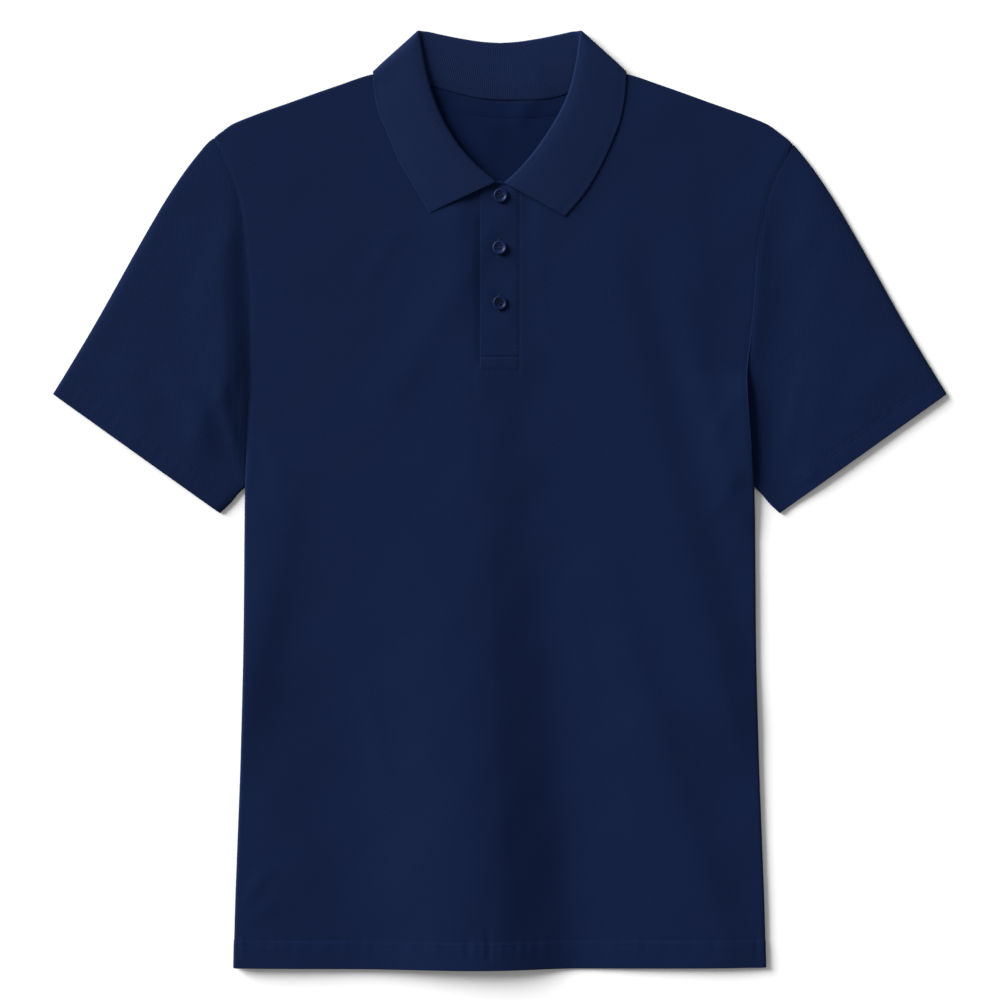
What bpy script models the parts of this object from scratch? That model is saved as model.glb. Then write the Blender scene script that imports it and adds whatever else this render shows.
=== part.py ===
"""Short-sleeved polo shirt, buttoned and laid flat on its back.

The surface it lies on is Z = 0, the neck points to +Y and the front faces +Z. Every length in this
file is in millimetres, and MM turns it into Blender's metres when a mesh is made. Left and right are
those of somebody looking down on the shirt.

Each piece of cloth is a closed wall between two grids of points: rows that run across the shirt and
columns that run from the hem to the neck. The panels' heights come from one table of folds.
"""

import bmesh
import bpy
import numpy as np

MM = 0.001
GAP = 0.3             # between two pieces at a seam
CLOTH = 1.0           # wall of the knitted panels
RIB = 1.4             # wall of the flat-knit collar
STACK = CLOTH + GAP   # from one layer's middle to the next one's
CHORD = 0.05          # more room where a curved wall is made of flat facets

# Body
HEM_Y = -383.9        # hem at the side seams
HEM_SAG = 1.1         # the hem's middle hangs this much lower
BODY_WIDTH = 212.0    # half-width that the columns near the middle keep
NECK_WIDTH = 88.0     # half-width between the shoulder seams' neck ends
ARMPIT_Y = 10.5
TIP_Y = 293.5         # upper end of the armhole

# Placket
PLACKET_LEFT = -16.2
PLACKET_RIGHT = 16.6
PLACKET_END = 105.6
PLACKET_BELOW_SEAM = 0.5
SLIT_HALF = 13.5      # the cut in the front panel that the placket covers
SLIT_END = 118.0

# Inside of the back neck
TAPE_HALF = 64.0
TAPE_WIDTH = 13.4
TAPE_BELOW_SEAM = 2.0

# Buttons
BUTTON_RADIUS = 5.75
BUTTON_HEIGHT = 2.6
BUTTON_RIM = 0.8      # the rim stands this much above the button's middle
BUTTON_SIDES = 24
HOLE_COUNT = 4
HOLE_RADIUS = 0.75
HOLE_PITCH = 1.45     # from the button's middle to a hole's
HOLE_SIDES = 8
HOLE_TURN = 0.17      # keeps the holes' facets off the button's own edges

# Heights above the surface
FRONT_LEVEL = 3.4     # middle of the front panel's wall where no fold lifts it
SEAM_LEVEL = 0.5 * CLOTH + STACK  # the same at a side seam, just above the back panel
FALL_LIFT = RIB + GAP + 0.2      # how far the collar's hidden fall lifts the back panel
RAMP_CLEARANCE = 0.5              # more room between the panels half-way up that lift
FALL_RAMP = 54.0, 14.0            # its rise starts and ends this far below the fall's edge

# Colours (linear) and roughness of the finishes
NAVY = (0.0085, 0.0160, 0.0510)
COLLAR_NAVY = (0.0100, 0.0185, 0.0560)
BUTTON_NAVY = (0.0090, 0.0150, 0.0420)
CLOTH_ROUGHNESS = 0.85
RIB_ROUGHNESS = 0.8
BUTTON_ROUGHNESS = 0.35


def table(columns, *rows):
    """Named columns: one array of numbers for each name."""
    return dict(zip(columns.split(), np.array(rows, float).T))


SIDES = table(
    "y left right",
    (-384, 218.3, 218.3),
    (-336, 217.1, 217.1),
    (-287, 215.3, 215.3),
    (-213, 212.5, 212.5),
    (-115, 210.1, 210.1),
    (-20, 209.3, 209.3),
    (14, 208.9, 208.3),
    (62, 206.6, 204.8),
    (100, 205.0, 202.8),
    (130, 205.0, 206.0),
    (160, 205.9, 209.8),
    (195, 208.6, 211.8),
    (228, 211.2, 215.8),
    (255, 217.2, 221.8),
    (268, 222.0, 227.8),
    (286, 230.0, 237.5),
    (302, 236.0, 244.5),
)

SHOULDER = table(
    "x y",
    (88, 353.5),
    (100, 350.0),
    (107, 348.6),
    (131, 340.6),
    (151, 333.6),
    (171, 326.4),
    (190, 319.8),
    (210, 312.3),
    (221, 307.4),
    (227, 302.9),
    (234, 297.7),
    (240, 292.4),
    (247, 284.5),
)

FRONT_NECK = table(
    "x y",
    (0, 255.5),
    (10, 257.5),
    (22, 265.0),
    (36, 279.0),
    (50, 297.0),
    (63, 318.0),
    (73, 335.0),
    (81, 346.5),
    (88, 353.5),
)

BACK_NECK = table(
    "x y",
    (-88, 353.5),
    (-72, 346.5),
    (-56, 341.0),
    (-41, 337.0),
    (-22, 331.6),
    (0, 329.4),
    (26, 329.4),
    (50, 332.8),
    (60, 337.0),
    (72, 343.5),
    (88, 353.5),
)

# Lower edge of the collar's fall where it is hidden under the back panel, and past the sides of the
# neck the line along which the panel comes down again
HIDDEN_FALL = table(
    "x y",
    (0, 321.8),
    (20, 322.4),
    (40, 324.4),
    (60, 328.0),
    (80, 334.8),
    (90, 340.0),
    (98, 343.5),
    (106, 345.5),
    (124, 353.0),
    (144, 370.0),
)

# Crests that lift the front panel. Each runs from its upper end to its lower end, and falls away on
# its left and on its right by its own widths.
FOLDS = table(
    "x_up y_up x_low y_low left_up left_low right_up right_low rise_up rise_low",
    (-18, 104, -15, -386, 34, 80, 22, 56, 2.0, 8.6),       # under the placket to the hem
    (-164, -40, -159, -360, 30, 36, 34, 46, 1.4, 4.2),     # lower left
    (-172, 30, -206, -150, 26, 30, 18, 22, 1.0, 2.4),      # from the left armpit down to the side
    (102, 150, 186, -175, 34, 46, 18, 26, 1.2, 3.4),       # from the right chest down to the side
    (120, -110, 178, -370, 34, 44, 18, 26, 1.0, 3.2),      # lower right
    (158, 214, 164, 120, 20, 20, 14, 16, 0.5, 1.2),        # right chest
    (-20, 176, -58, 106, 14, 18, 12, 14, 0.5, 1.2),        # beside the placket
    (-186, 198, -184, 96, 14, 16, 12, 14, 0.5, 1.0),       # left chest
)
FOLD_END = 34.0       # a crest dies out over this length past its ends

# The body's edge that stands over the sleeve below the chest
ARMHOLE_ROLL = table(
    "y rise",
    (-30, 0),
    (12, 1.2),
    (60, 2.4),
    (100, 2.6),
    (140, 1.6),
    (200, 0.7),
    (290, 0),
)
ROLL_INSET = 9.0
ROLL_WIDTH = 7.0
EDGE_RUN = 9.0        # the front panel climbs from a seam to its own level over about this length

# Sleeves: outer outline from the armhole's upper end to the cuff, and the underarm edge
SLEEVE_OUTER = table(
    "x y",
    (240.2, 292.6),
    (247.0, 284.5),
    (253.5, 276.4),
    (260.1, 267.4),
    (273.2, 247.7),
    (286.3, 225.7),
    (299.5, 202.7),
    (332.3, 144.5),
    (358.5, 101.8),
    (366.2, 89.2),
)
SLEEVE_UNDER = table("x y", (208.9, 10.5), (214.2, 5.6), (220.7, -2.8), (228.9, -10.6))
CUFF_BOW = 2.5        # the cuff's middle stands this far outside the line between its ends
SLEEVE_LEVEL = 3.6
SLEEVE_TROUGH = 0.7   # the sleeve dips by this much beside the armhole
SLEEVE_STEPS = 10
# Shares of the way out to the cuff: where the armhole's height has died out, how wide the dip is,
# and how long a ridge is
ROOT_SHARE, TROUGH_SHARE, RIDGE_SHARE = 0.12, 0.25, 0.4
SLEEVE_RIDGES = table(
    "side across out width rise",      # across: 0 at the shoulder, 1 underarm; out: 0 root, 1 cuff
    (1, 0.62, 0.55, 0.10, 1.4),
    (-1, 0.70, 0.50, 0.14, 1.6),
    (-1, 0.30, 0.60, 0.20, 0.8),
)

# Collar, from its front end to the crease at the side of the neck. The fold is the inner edge that
# shows, and the edge is the outer one.
RIGHT_LEAF = table(
    "fold_x fold_y edge_x edge_y",
    (4.0, 259.6, 53.5, 232.4),
    (14.1, 268.8, 62.5, 242.6),
    (25.9, 282.0, 71.5, 254.0),
    (39.1, 300.0, 81.6, 271.0),
    (51.0, 320.5, 92.0, 293.0),
    (58.1, 337.7, 99.0, 312.0),
    (63.0, 359.0, 103.0, 334.0),
    (65.2, 374.0, 103.6, 345.5),
    (66.0, 381.2, 103.8, 350.2),
    (65.6, 383.8, 103.6, 351.4),
)
LEFT_LEAF = table(
    "fold_x fold_y edge_x edge_y",
    (3.6, 260.4, 57.2, 235.2),
    (14.4, 269.2, 64.0, 246.0),
    (25.5, 280.0, 71.0, 257.6),
    (37.0, 294.5, 81.6, 275.8),
    (49.0, 315.5, 92.0, 300.0),
    (57.0, 337.0, 98.6, 315.2),
    (62.2, 358.2, 103.0, 334.0),
    (65.0, 374.0, 103.8, 345.5),
    (66.0, 381.2, 104.0, 350.2),
    (65.6, 383.8, 103.8, 351.4),
)
BACK_COLLAR = table(
    "fold_x fold_y edge_x edge_y",
    (64.3, 384.0, 102.6, 350.1),
    (60.5, 383.9, 98.0, 345.5),
    (50.0, 381.7, 80.0, 334.8),
    (38.0, 379.2, 60.0, 328.0),
    (25.0, 376.9, 40.0, 324.4),
    (12.0, 375.2, 20.0, 322.4),
    (0.0, 374.5, 0.0, 321.8),
)
# For the same stations: where the stand meets the neck seam and how far it laps over the panel, the
# heights of fold and edge, and the turn of the strip, from 90 where the fall lies over the stand,
# through 0 at the crease, to -90 where it lies under it.
COLLAR_SECTIONS = table(
    "seam_x lap fold_z edge_z turn",
    (8.0, 1.2, 8.6, 6.9, 90),
    (19.5, 1.2, 9.4, 6.5, 90),
    (31.0, 1.2, 10.2, 6.2, 90),
    (45.0, 1.2, 10.8, 6.0, 90),
    (59.0, 1.2, 11.2, 6.0, 90),
    (69.5, 1.2, 11.0, 6.0, 90),
    (78.0, 1.0, 10.2, 6.0, 90),
    (84.0, 0.5, 8.6, 5.9, 80),
    (87.0, -0.6, 6.6, 5.0, 45),
    (87.6, -1.0, 4.9, 3.0, 0),
    (84.0, -1.0, 3.4, 1.1, -45),
    (76.5, -0.9, 2.5, 0.8, -80),
    (66.0, 1.0, 2.3, 0.75, -90),
    (50.0, 1.2, 2.2, 0.75, -90),
    (33.0, 1.2, 2.2, 0.75, -90),
    (16.0, 1.2, 2.2, 0.75, -90),
    (0.0, 1.2, 2.2, 0.75, -90),
)
FOLD_RADIUS = 1.4
STAND_HEIGHT = 45.0   # at the back of the neck
STAND_CROWN = 1.3     # the stand arches this much there between seam and fold
FALL_CROWN = 0.6
CREASE_OUT = 0.65, 0.76  # the way out of the neck across the crease
# Shares of the stand's and of the fall's width, and degrees round the fold between them
STAND_SHARES = 0, 0.33, 0.67
FOLD_ANGLES = -90, -45, 0, 45, 90
FALL_SHARES = 0.22, 0.48, 0.74, 1

BUTTONS = table("x y", (0.6, 249.4), (-0.2, 206.8), (0.1, 161.4))

# Grid lines: shares of the half-width across, and of the way from the hem to the top
NECK_SHARE = NECK_WIDTH / (BODY_WIDTH + 5.0)
SLIT_SHARE = SLIT_HALF / BODY_WIDTH
HALF_COLUMNS = np.concatenate([
    np.linspace(SLIT_SHARE, NECK_SHARE, 7),
    np.linspace(NECK_SHARE, 1, 9)[1:],
])
ARMPIT_SHARE = (ARMPIT_Y - HEM_Y) / (TIP_Y - HEM_Y)
SLIT_ROW_SHARE = (SLIT_END - HEM_Y) / (FRONT_NECK["y"][0] - HEM_Y)
ARMHOLE_STEPS = 6, 7  # rows from the armpit to the slit's end, and from there to the top
COLUMNS = np.concatenate([-HALF_COLUMNS[::-1], [0], HALF_COLUMNS])
BACK_HALF_COLUMNS = np.array([0.14, 0.27, NECK_SHARE, 0.5, 0.58, 0.65, 0.73, 0.86, 1])
BACK_COLUMNS = np.concatenate([-BACK_HALF_COLUMNS[::-1], [0], BACK_HALF_COLUMNS])
ROWS = np.concatenate([
    np.linspace(0, ARMPIT_SHARE, 15),
    np.linspace(ARMPIT_SHARE, SLIT_ROW_SHARE, ARMHOLE_STEPS[0] + 1)[1:],
    np.linspace(SLIT_ROW_SHARE, 1, ARMHOLE_STEPS[1] + 1)[1:],
])
ARMHOLE_ROWS = ROWS[-sum(ARMHOLE_STEPS) - 1:]
BACK_ROWS = np.concatenate([np.linspace(0, ARMPIT_SHARE, 7)[:-1], ARMHOLE_ROWS])


def smooth(at, xs, ys):
    """Monotone cubic through a table: at each row the slope is the harmonic mean of its two chords."""
    step = np.diff(xs)
    chord = np.diff(ys) / step
    same_way = chord[:-1] * chord[1:] > 0
    total = np.where(same_way, chord[:-1] + chord[1:], 1)
    inner = np.where(same_way, 2 * chord[:-1] * chord[1:] / total, 0)
    slope = np.concatenate([chord[:1], inner, chord[-1:]])
    cell = np.clip(np.searchsorted(xs, at) - 1, 0, len(step) - 1)
    run = step[cell]
    t = np.clip((at - xs[cell]) / run, 0, 1)
    start = ys[cell] * (1 + 2 * t) * (1 - t) ** 2 + slope[cell] * run * t * (1 - t) ** 2
    end = ys[cell + 1] * t * t * (3 - 2 * t) + slope[cell + 1] * run * t * t * (t - 1)
    return start + end


def ease(t):
    """0 to 1 with level ends."""
    t = np.clip(t, 0, 1)
    return t * t * (3 - 2 * t)


def half_width(y, side):
    """Half-width of the body at a height, on the left (side < 0) or on the right."""
    left = smooth(y, SIDES["y"], SIDES["left"])
    right = smooth(y, SIDES["y"], SIDES["right"])
    return np.where(np.asarray(side) < 0, left, right)


def column_x(share, y):
    """X of a column: straight near the middle, and along the side's own outline at a share of 1."""
    return share * (BODY_WIDTH + (half_width(y, share) - BODY_WIDTH) * share ** 2)


def front_neck(x):
    return smooth(abs(x), FRONT_NECK["x"], FRONT_NECK["y"])


def back_neck(x):
    return smooth(x, BACK_NECK["x"], BACK_NECK["y"])


def top_edge(x, neckline):
    """Y of a panel's upper edge: the neckline, and the shoulder seam outside it."""
    shoulder = smooth(abs(x), SHOULDER["x"], SHOULDER["y"])
    return np.where(abs(x) < NECK_WIDTH, neckline(x), shoulder)


def hem_edge(x):
    """Y of the hem, which hangs lowest in the middle."""
    return HEM_Y - HEM_SAG * (1 - (x / BODY_WIDTH) ** 2).clip(0, 1)


def panel_plan(neckline, columns, rows):
    """X and Y of a panel's grid: each column runs from the hem to where it meets the upper edge."""
    share, up = np.meshgrid(columns, rows)
    top = np.full(share.shape, TIP_Y)
    for _ in range(40):
        top = (top + top_edge(column_x(share, top), neckline)) / 2
    bottom = hem_edge(share * BODY_WIDTH)
    y = bottom + up * (top - bottom)
    return column_x(share, y), y


def back_height(x, y):
    """Height of the back panel's middle: flat on the surface, and lifted over the collar's fall."""
    fall = smooth(abs(x), HIDDEN_FALL["x"], HIDDEN_FALL["y"])
    start, end = FALL_RAMP
    return CLOTH / 2 + FALL_LIFT * ease((y - fall + start) / (start - end))


def crests(x, y):
    """Sum of the folds: a bell across each crest, as wide and as high as its table row says."""
    total = np.zeros(np.shape(x))
    for row in zip(*FOLDS.values()):
        x_up, y_up, x_low, y_low, left_up, left_low, right_up, right_low, rise_up, rise_low = row
        run = np.hypot(x_low - x_up, y_low - y_up)
        along_x, along_y = (x_low - x_up) / run, (y_low - y_up) / run
        along = (x - x_up) * along_x + (y - y_up) * along_y
        across = (x - x_up) * -along_y + (y - y_up) * along_x
        share = np.clip(along / run, 0, 1)
        left = left_up + share * (left_low - left_up)
        right = right_up + share * (right_low - right_up)
        past = along - share * run
        bell = np.exp(-(across / np.where(across < 0, left, right)) ** 2)
        total += (rise_up + share * (rise_low - rise_up)) * bell * np.exp(-(past / FOLD_END) ** 2)
    return total


def front_height(x, y):
    """Height of the front panel's middle: seams low, the roll along the armhole, and the folds."""
    back = back_height(x, y)
    inset = half_width(y, x) - abs(x)
    below_top = smooth(abs(x).clip(NECK_WIDTH), SHOULDER["x"], SHOULDER["y"]) - y
    climb = (1 - np.exp(-inset.clip(0) / EDGE_RUN)) * (1 - np.exp(-below_top.clip(0) / EDGE_RUN))
    roll = smooth(y, ARMHOLE_ROLL["y"], ARMHOLE_ROLL["rise"])
    roll = roll * np.exp(-((inset - ROLL_INSET) / ROLL_WIDTH) ** 2)
    height = SEAM_LEVEL + (FRONT_LEVEL - SEAM_LEVEL + crests(x, y)) * climb + roll
    on_ramp = (back - CLOTH / 2) / FALL_LIFT
    return np.maximum(height, back + STACK + 4 * RAMP_CLEARANCE * on_ramp * (1 - on_ramp))


def points(x, y, z):
    return np.stack(np.broadcast_arrays(x, y, z), axis=-1)


def cloth_material(name, colour, roughness):
    """Plain finish of one sub-part."""
    material = bpy.data.materials.new(name)
    material.use_nodes = True
    shader = material.node_tree.nodes["Principled BSDF"]
    shader.inputs["Base Color"].default_value = (*colour, 1)
    shader.inputs["Roughness"].default_value = roughness
    shader.inputs["Metallic"].default_value = 0
    return material


def add_object(name, bm, colour, roughness):
    """Turns a bmesh into a named, smooth-shaded object with a material of its own."""
    bmesh.ops.recalc_face_normals(bm, faces=bm.faces)
    mesh = bpy.data.meshes.new(name)
    bm.to_mesh(mesh)
    bm.free()
    mesh.shade_smooth()
    mesh.set_sharp_from_angle(angle=np.radians(40))
    mesh.materials.append(cloth_material(name, colour, roughness))
    obj = bpy.data.objects.new(name, mesh)
    bpy.context.scene.collection.objects.link(obj)
    return obj


def add_wall(name, outer, inner, colour, roughness, around=False, left_out=None):
    """Closed wall between two grids of points, with a rim along every open edge.

    around joins the last column to the first, and left_out marks cells that hold no cloth.
    """
    bm = bmesh.new()
    rows, columns = outer.shape[:2]
    sheets = [
        [[bm.verts.new(point * MM) for point in row] for row in grid]
        for grid in (outer, inner)
    ]
    inner_of = {}
    for i in range(rows):
        for j in range(columns):
            inner_of[sheets[0][i][j]] = sheets[1][i][j]
    outer_faces = []
    for i in range(rows - 1):
        for j in range(columns if around else columns - 1):
            if left_out is not None and left_out[i, j]:
                continue
            k = (j + 1) % columns
            corners = [(i, j), (i, k), (i + 1, k), (i + 1, j)]
            outer_faces.append(bm.faces.new([sheets[0][a][b] for a, b in corners]))
            bm.faces.new([sheets[1][a][b] for a, b in reversed(corners)])
    open_edges = {edge for face in outer_faces for edge in face.edges if edge.is_boundary}
    for edge in open_edges:
        a, b = edge.verts
        bm.faces.new([a, b, inner_of[b], inner_of[a]])
    bmesh.ops.delete(bm, geom=[v for v in bm.verts if not v.link_faces], context="VERTS")
    return add_object(name, bm, colour, roughness)


def add_layer(name, x, y, middle, colour, roughness, thickness=CLOTH, left_out=None):
    """Wall whose middle lies at the given heights."""
    upper = points(x, y, middle + thickness / 2)
    lower = points(x, y, middle - thickness / 2)
    return add_wall(name, upper, lower, colour, roughness, left_out=left_out)


def body_panels():
    """The two panels, on the same columns and armhole rows. The front has the placket's cut."""
    x, y = panel_plan(back_neck, BACK_COLUMNS, BACK_ROWS)
    add_layer("back", x, y, back_height(x, y), NAVY, CLOTH_ROUGHNESS)

    x, y = panel_plan(front_neck, COLUMNS, ROWS)
    cut_columns = abs((COLUMNS[:-1] + COLUMNS[1:]) / 2) < SLIT_SHARE
    cut_rows = (ROWS[:-1] + ROWS[1:]) / 2 > SLIT_ROW_SHARE
    add_layer("front", x, y, front_height(x, y), NAVY, CLOTH_ROUGHNESS,
              left_out=np.outer(cut_rows, cut_columns))


def resample(curve, shares):
    """Points at even shares of a table curve's length."""
    knots = np.linspace(0, 1, len(curve["x"]))
    fine = np.linspace(0, 1, 200)
    x, y = smooth(fine, knots, curve["x"]), smooth(fine, knots, curve["y"])
    length = np.concatenate([[0], np.cumsum(np.hypot(np.diff(x), np.diff(y)))])
    at = np.asarray(shares) * length[-1]
    return np.stack([np.interp(at, length, x), np.interp(at, length, y)], axis=-1)


def armhole(side):
    """The armhole's points from the shoulder down, in rows of the panels' own, on the + side."""
    x, y = panel_plan(front_neck, np.array([float(side)]), ARMHOLE_ROWS)
    return np.stack([abs(x[::-1, 0]), y[::-1, 0]], axis=-1)


def sleeve(name, side):
    """Flattened tube: rings from the armhole to the cuff, over the top layer and back underneath.

    The plan is a Coons patch between the armhole, the cuff, the outer outline and the underarm edge.
    """
    out = np.linspace(0, 1, SLEEVE_STEPS + 1)
    root = armhole(side)
    across = np.linspace(0, 1, len(root))
    outer, under = resample(SLEEVE_OUTER, out), resample(SLEEVE_UNDER, out)
    root_clear = root + [GAP + 2 * CHORD, 0]
    outer[0], under[0] = root_clear[0], root_clear[-1]
    cuff = outer[-1] + across[:, None] * (under[-1] - outer[-1])
    cuff_out = np.array([outer[-1, 1] - under[-1, 1], under[-1, 0] - outer[-1, 0]])
    bow = CUFF_BOW * (1 - (2 * across[:, None] - 1) ** 6)
    cuff = cuff + bow * cuff_out / np.linalg.norm(cuff_out)
    s, t = out[:, None, None], across[None, :, None]
    plan = (1 - s) * root_clear[None] + s * cuff[None]
    plan = plan + (1 - t) * outer[:, None] + t * under[:, None]
    corners = (1 - s) * (1 - t) * outer[0] + (1 - s) * t * under[0]
    plan = plan - corners - s * (1 - t) * outer[-1] - s * t * under[-1]

    s, t = out[:, None], across[None, :]
    root_level = front_height(side * root[:, 0], root[:, 1])[None, :]
    edge = 1 - (2 * t - 1) ** 6
    dip = SLEEVE_TROUGH * np.exp(-(s / TROUGH_SHARE) ** 2)
    level = SEAM_LEVEL + (SLEEVE_LEVEL - SEAM_LEVEL - dip) * edge
    for side_of, at_across, at_out, width, rise in zip(*SLEEVE_RIDGES.values()):
        if side_of == side:
            bell = np.exp(-((t - at_across) / width) ** 2 - ((s - at_out) / RIDGE_SHARE) ** 2)
            level = level + rise * bell * edge
    blend = ease(s / ROOT_SHARE)
    level = root_level * (1 - blend) + level * blend
    level = np.maximum(level, SEAM_LEVEL)

    x, y = side * plan[..., 0], plan[..., 1]
    inward = np.zeros(plan.shape[:2] + (2,))
    inward[:, 0] = plan[:, 1] - plan[:, 0]
    inward[:, -1] = plan[:, -2] - plan[:, -1]
    inward[:, [0, -1]] *= CLOTH / np.linalg.norm(inward[:, [0, -1]], axis=-1, keepdims=True)
    inner_x, inner_y = x + side * inward[..., 0], y + inward[..., 1]
    outer_ring = np.concatenate([
        points(x, y, level + CLOTH / 2),
        points(x, y, 0.0)[:, ::-1],
    ], axis=1)
    inner_ring = np.concatenate([
        points(inner_x, inner_y, level - CLOTH / 2),
        points(inner_x, inner_y, CLOTH)[:, ::-1],
    ], axis=1)
    add_wall(name, outer_ring, inner_ring, NAVY, CLOTH_ROUGHNESS, around=True)


def collar_half(side):
    """Middle surface of half of the collar, one row for each station from the front to the centre."""
    leaf = RIGHT_LEAF if side > 0 else LEFT_LEAF
    plan = {name: np.concatenate([leaf[name], BACK_COLLAR[name]]) for name in leaf}
    section = COLLAR_SECTIONS
    fold = np.stack([side * plan["fold_x"], plan["fold_y"]], axis=-1)
    edge = np.stack([side * plan["edge_x"], plan["edge_y"]], axis=-1)
    on_front = section["turn"] > -20
    seam_x = side * section["seam_x"]
    seam = np.stack([seam_x, np.where(on_front, front_neck(seam_x), back_neck(seam_x))], axis=-1)
    up_stand = fold - seam
    up_stand = up_stand / np.linalg.norm(up_stand, axis=1, keepdims=True)
    seam = seam - section["lap"][:, None] * up_stand
    panel = np.where(on_front, front_height(seam[:, 0], seam[:, 1]), back_height(seam[:, 0], seam[:, 1]))
    on_placket = on_front & (abs(seam_x) < PLACKET_RIGHT + 5)
    seam_z = panel + np.where(on_placket, 2, 1) * STACK + (RIB - CLOTH) / 2 + 2 * CHORD

    to_edge = edge - fold
    to_edge = to_edge / np.linalg.norm(to_edge, axis=1, keepdims=True)
    into = to_edge - up_stand
    into = into / np.linalg.norm(into, axis=1, keepdims=True)
    away = np.array([side * CREASE_OUT[0], CREASE_OUT[1]])
    turn = np.radians(section["turn"])
    apart = np.concatenate([np.cos(turn)[:, None] * away, np.sin(turn)[:, None]], axis=1)
    into = np.concatenate([into, np.zeros((len(into), 1))], axis=1)
    fold = np.concatenate([fold, section["fold_z"][:, None]], axis=1)
    seam = np.concatenate([seam, seam_z[:, None]], axis=1)
    edge = np.concatenate([edge, section["edge_z"][:, None]], axis=1)

    centre = fold + FOLD_RADIUS * into
    arc = np.radians(FOLD_ANGLES)[None, :, None]
    bend = centre[:, None] + FOLD_RADIUS * (
        np.sin(arc) * apart[:, None] - np.cos(arc) * into[:, None]
    )
    share = np.array(STAND_SHARES)[None, :, None]
    stand = seam[:, None] + share * (bend[:, :1] - seam[:, None])
    reach = np.linalg.norm(seam - fold, axis=1)[:, None, None] / STAND_HEIGHT
    stand = stand + STAND_CROWN * reach * np.sin(np.pi * share) * [0, 0, 1]
    share = np.array(FALL_SHARES)[None, :, None]
    fall = bend[:, -1:] + share * (edge[:, None] - bend[:, -1:])
    crowned = (section["turn"] > 60)[:, None, None]
    fall = fall + FALL_CROWN * crowned * np.sin(np.pi * share) * [0, 0, 1]
    return np.concatenate([stand, bend, fall], axis=1)


def collar():
    """One knitted strip round the neck: the stand, the fold and the fall, moved out by half a wall."""
    right, left = collar_half(1), collar_half(-1)
    middle = np.concatenate([left, right[-2::-1]])
    along, across = np.gradient(middle, axis=0), np.gradient(middle, axis=1)
    normal = np.cross(along, across)
    normal = normal / np.linalg.norm(normal, axis=-1, keepdims=True)
    add_wall("collar", middle + normal * RIB / 2, middle - normal * RIB / 2, COLLAR_NAVY, RIB_ROUGHNESS)


def neck_tape():
    """Narrow tape on the inside of the back panel, along the neck seam."""
    along = np.linspace(-TAPE_HALF, TAPE_HALF, 17)
    x, down = np.meshgrid(along, np.linspace(0, TAPE_WIDTH, 3))
    y = back_neck(x) - TAPE_BELOW_SEAM - down
    add_layer("neck_tape", x, y, back_height(x, y) + STACK + CHORD, NAVY, CLOTH_ROUGHNESS)


def placket():
    """The two bands at the front opening: one in the panel's cut, one over it."""
    share, up = np.meshgrid(np.linspace(-1, 1, 5), np.linspace(0, 1, 13))
    x = share * (SLIT_HALF - GAP)
    top = front_neck(x) - 2 * PLACKET_BELOW_SEAM
    end = HEM_Y + SLIT_ROW_SHARE * (front_neck(x) - HEM_Y) + 2 * GAP
    y = end + up * (top - end)
    add_layer("placket_under", x, y, front_height(x, y), NAVY, CLOTH_ROUGHNESS)

    share, up = np.meshgrid(np.linspace(0, 1, 6), np.linspace(0, 1, 15))
    x = PLACKET_LEFT + share * (PLACKET_RIGHT - PLACKET_LEFT)
    y = PLACKET_END + up * (front_neck(x) - PLACKET_BELOW_SEAM - PLACKET_END)
    add_layer("placket_top", x, y, front_height(x, y) + STACK + CHORD, NAVY, CLOTH_ROUGHNESS)


def button(name, x, y):
    """Turned disc with a raised rim and four sewing holes, resting on the placket's top band."""
    profile = [
        (0, 0),
        (BUTTON_RADIUS * 0.8, 0),
        (BUTTON_RADIUS, 0.7),
        (BUTTON_RADIUS, BUTTON_HEIGHT - 0.5),
        (BUTTON_RADIUS - 0.5, BUTTON_HEIGHT),
        (BUTTON_RADIUS - 1.3, BUTTON_HEIGHT),
        (BUTTON_RADIUS - 2.0, BUTTON_HEIGHT - BUTTON_RIM),
        (0, BUTTON_HEIGHT - BUTTON_RIM),
    ]
    bm = bmesh.new()
    verts = [bm.verts.new((r * MM, 0, z * MM)) for r, z in profile]
    edges = [bm.edges.new(pair) for pair in zip(verts[:-1], verts[1:])]
    bmesh.ops.spin(bm, geom=verts + edges, cent=(0, 0, 0), axis=(0, 0, 1), angle=2 * np.pi,
                   steps=BUTTON_SIDES, use_merge=True)
    bmesh.ops.remove_doubles(bm, verts=bm.verts, dist=0.01 * MM)
    obj = add_object(name, bm, BUTTON_NAVY, BUTTON_ROUGHNESS)

    near = np.array([-1, 0, 1]) * BUTTON_RADIUS
    around_x, around_y = np.meshgrid(x + near, y + near)
    seat = front_height(around_x, around_y).max() + STACK + CHORD + CLOTH / 2 + GAP
    obj.location = (x * MM, y * MM, seat * MM)

    for i in range(HOLE_COUNT):
        angle = 2 * np.pi * (i + 0.5) / HOLE_COUNT
        hole_x, hole_y = x + HOLE_PITCH * np.cos(angle), y + HOLE_PITCH * np.sin(angle)
        bpy.ops.mesh.primitive_cylinder_add(
            vertices=HOLE_SIDES, radius=HOLE_RADIUS * MM, depth=3 * BUTTON_HEIGHT * MM,
            location=(hole_x * MM, hole_y * MM, seat * MM), rotation=(0, 0, HOLE_TURN))
        cutter = bpy.context.object
        cutter.name = f"{name}_hole_{i + 1}"
        cutter.hide_render = True
        cutter.display_type = "WIRE"
        cut = obj.modifiers.new(cutter.name, "BOOLEAN")
        cut.operation = "DIFFERENCE"
        cut.object = cutter


for old in list(bpy.data.objects):
    bpy.data.objects.remove(old)
body_panels()
sleeve("sleeve_left", -1)
sleeve("sleeve_right", 1)
collar()
neck_tape()
placket()
for number, (button_x, button_y) in enumerate(zip(BUTTONS["x"], BUTTONS["y"]), start=1):
    button(f"button_{number}", button_x, button_y)
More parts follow.
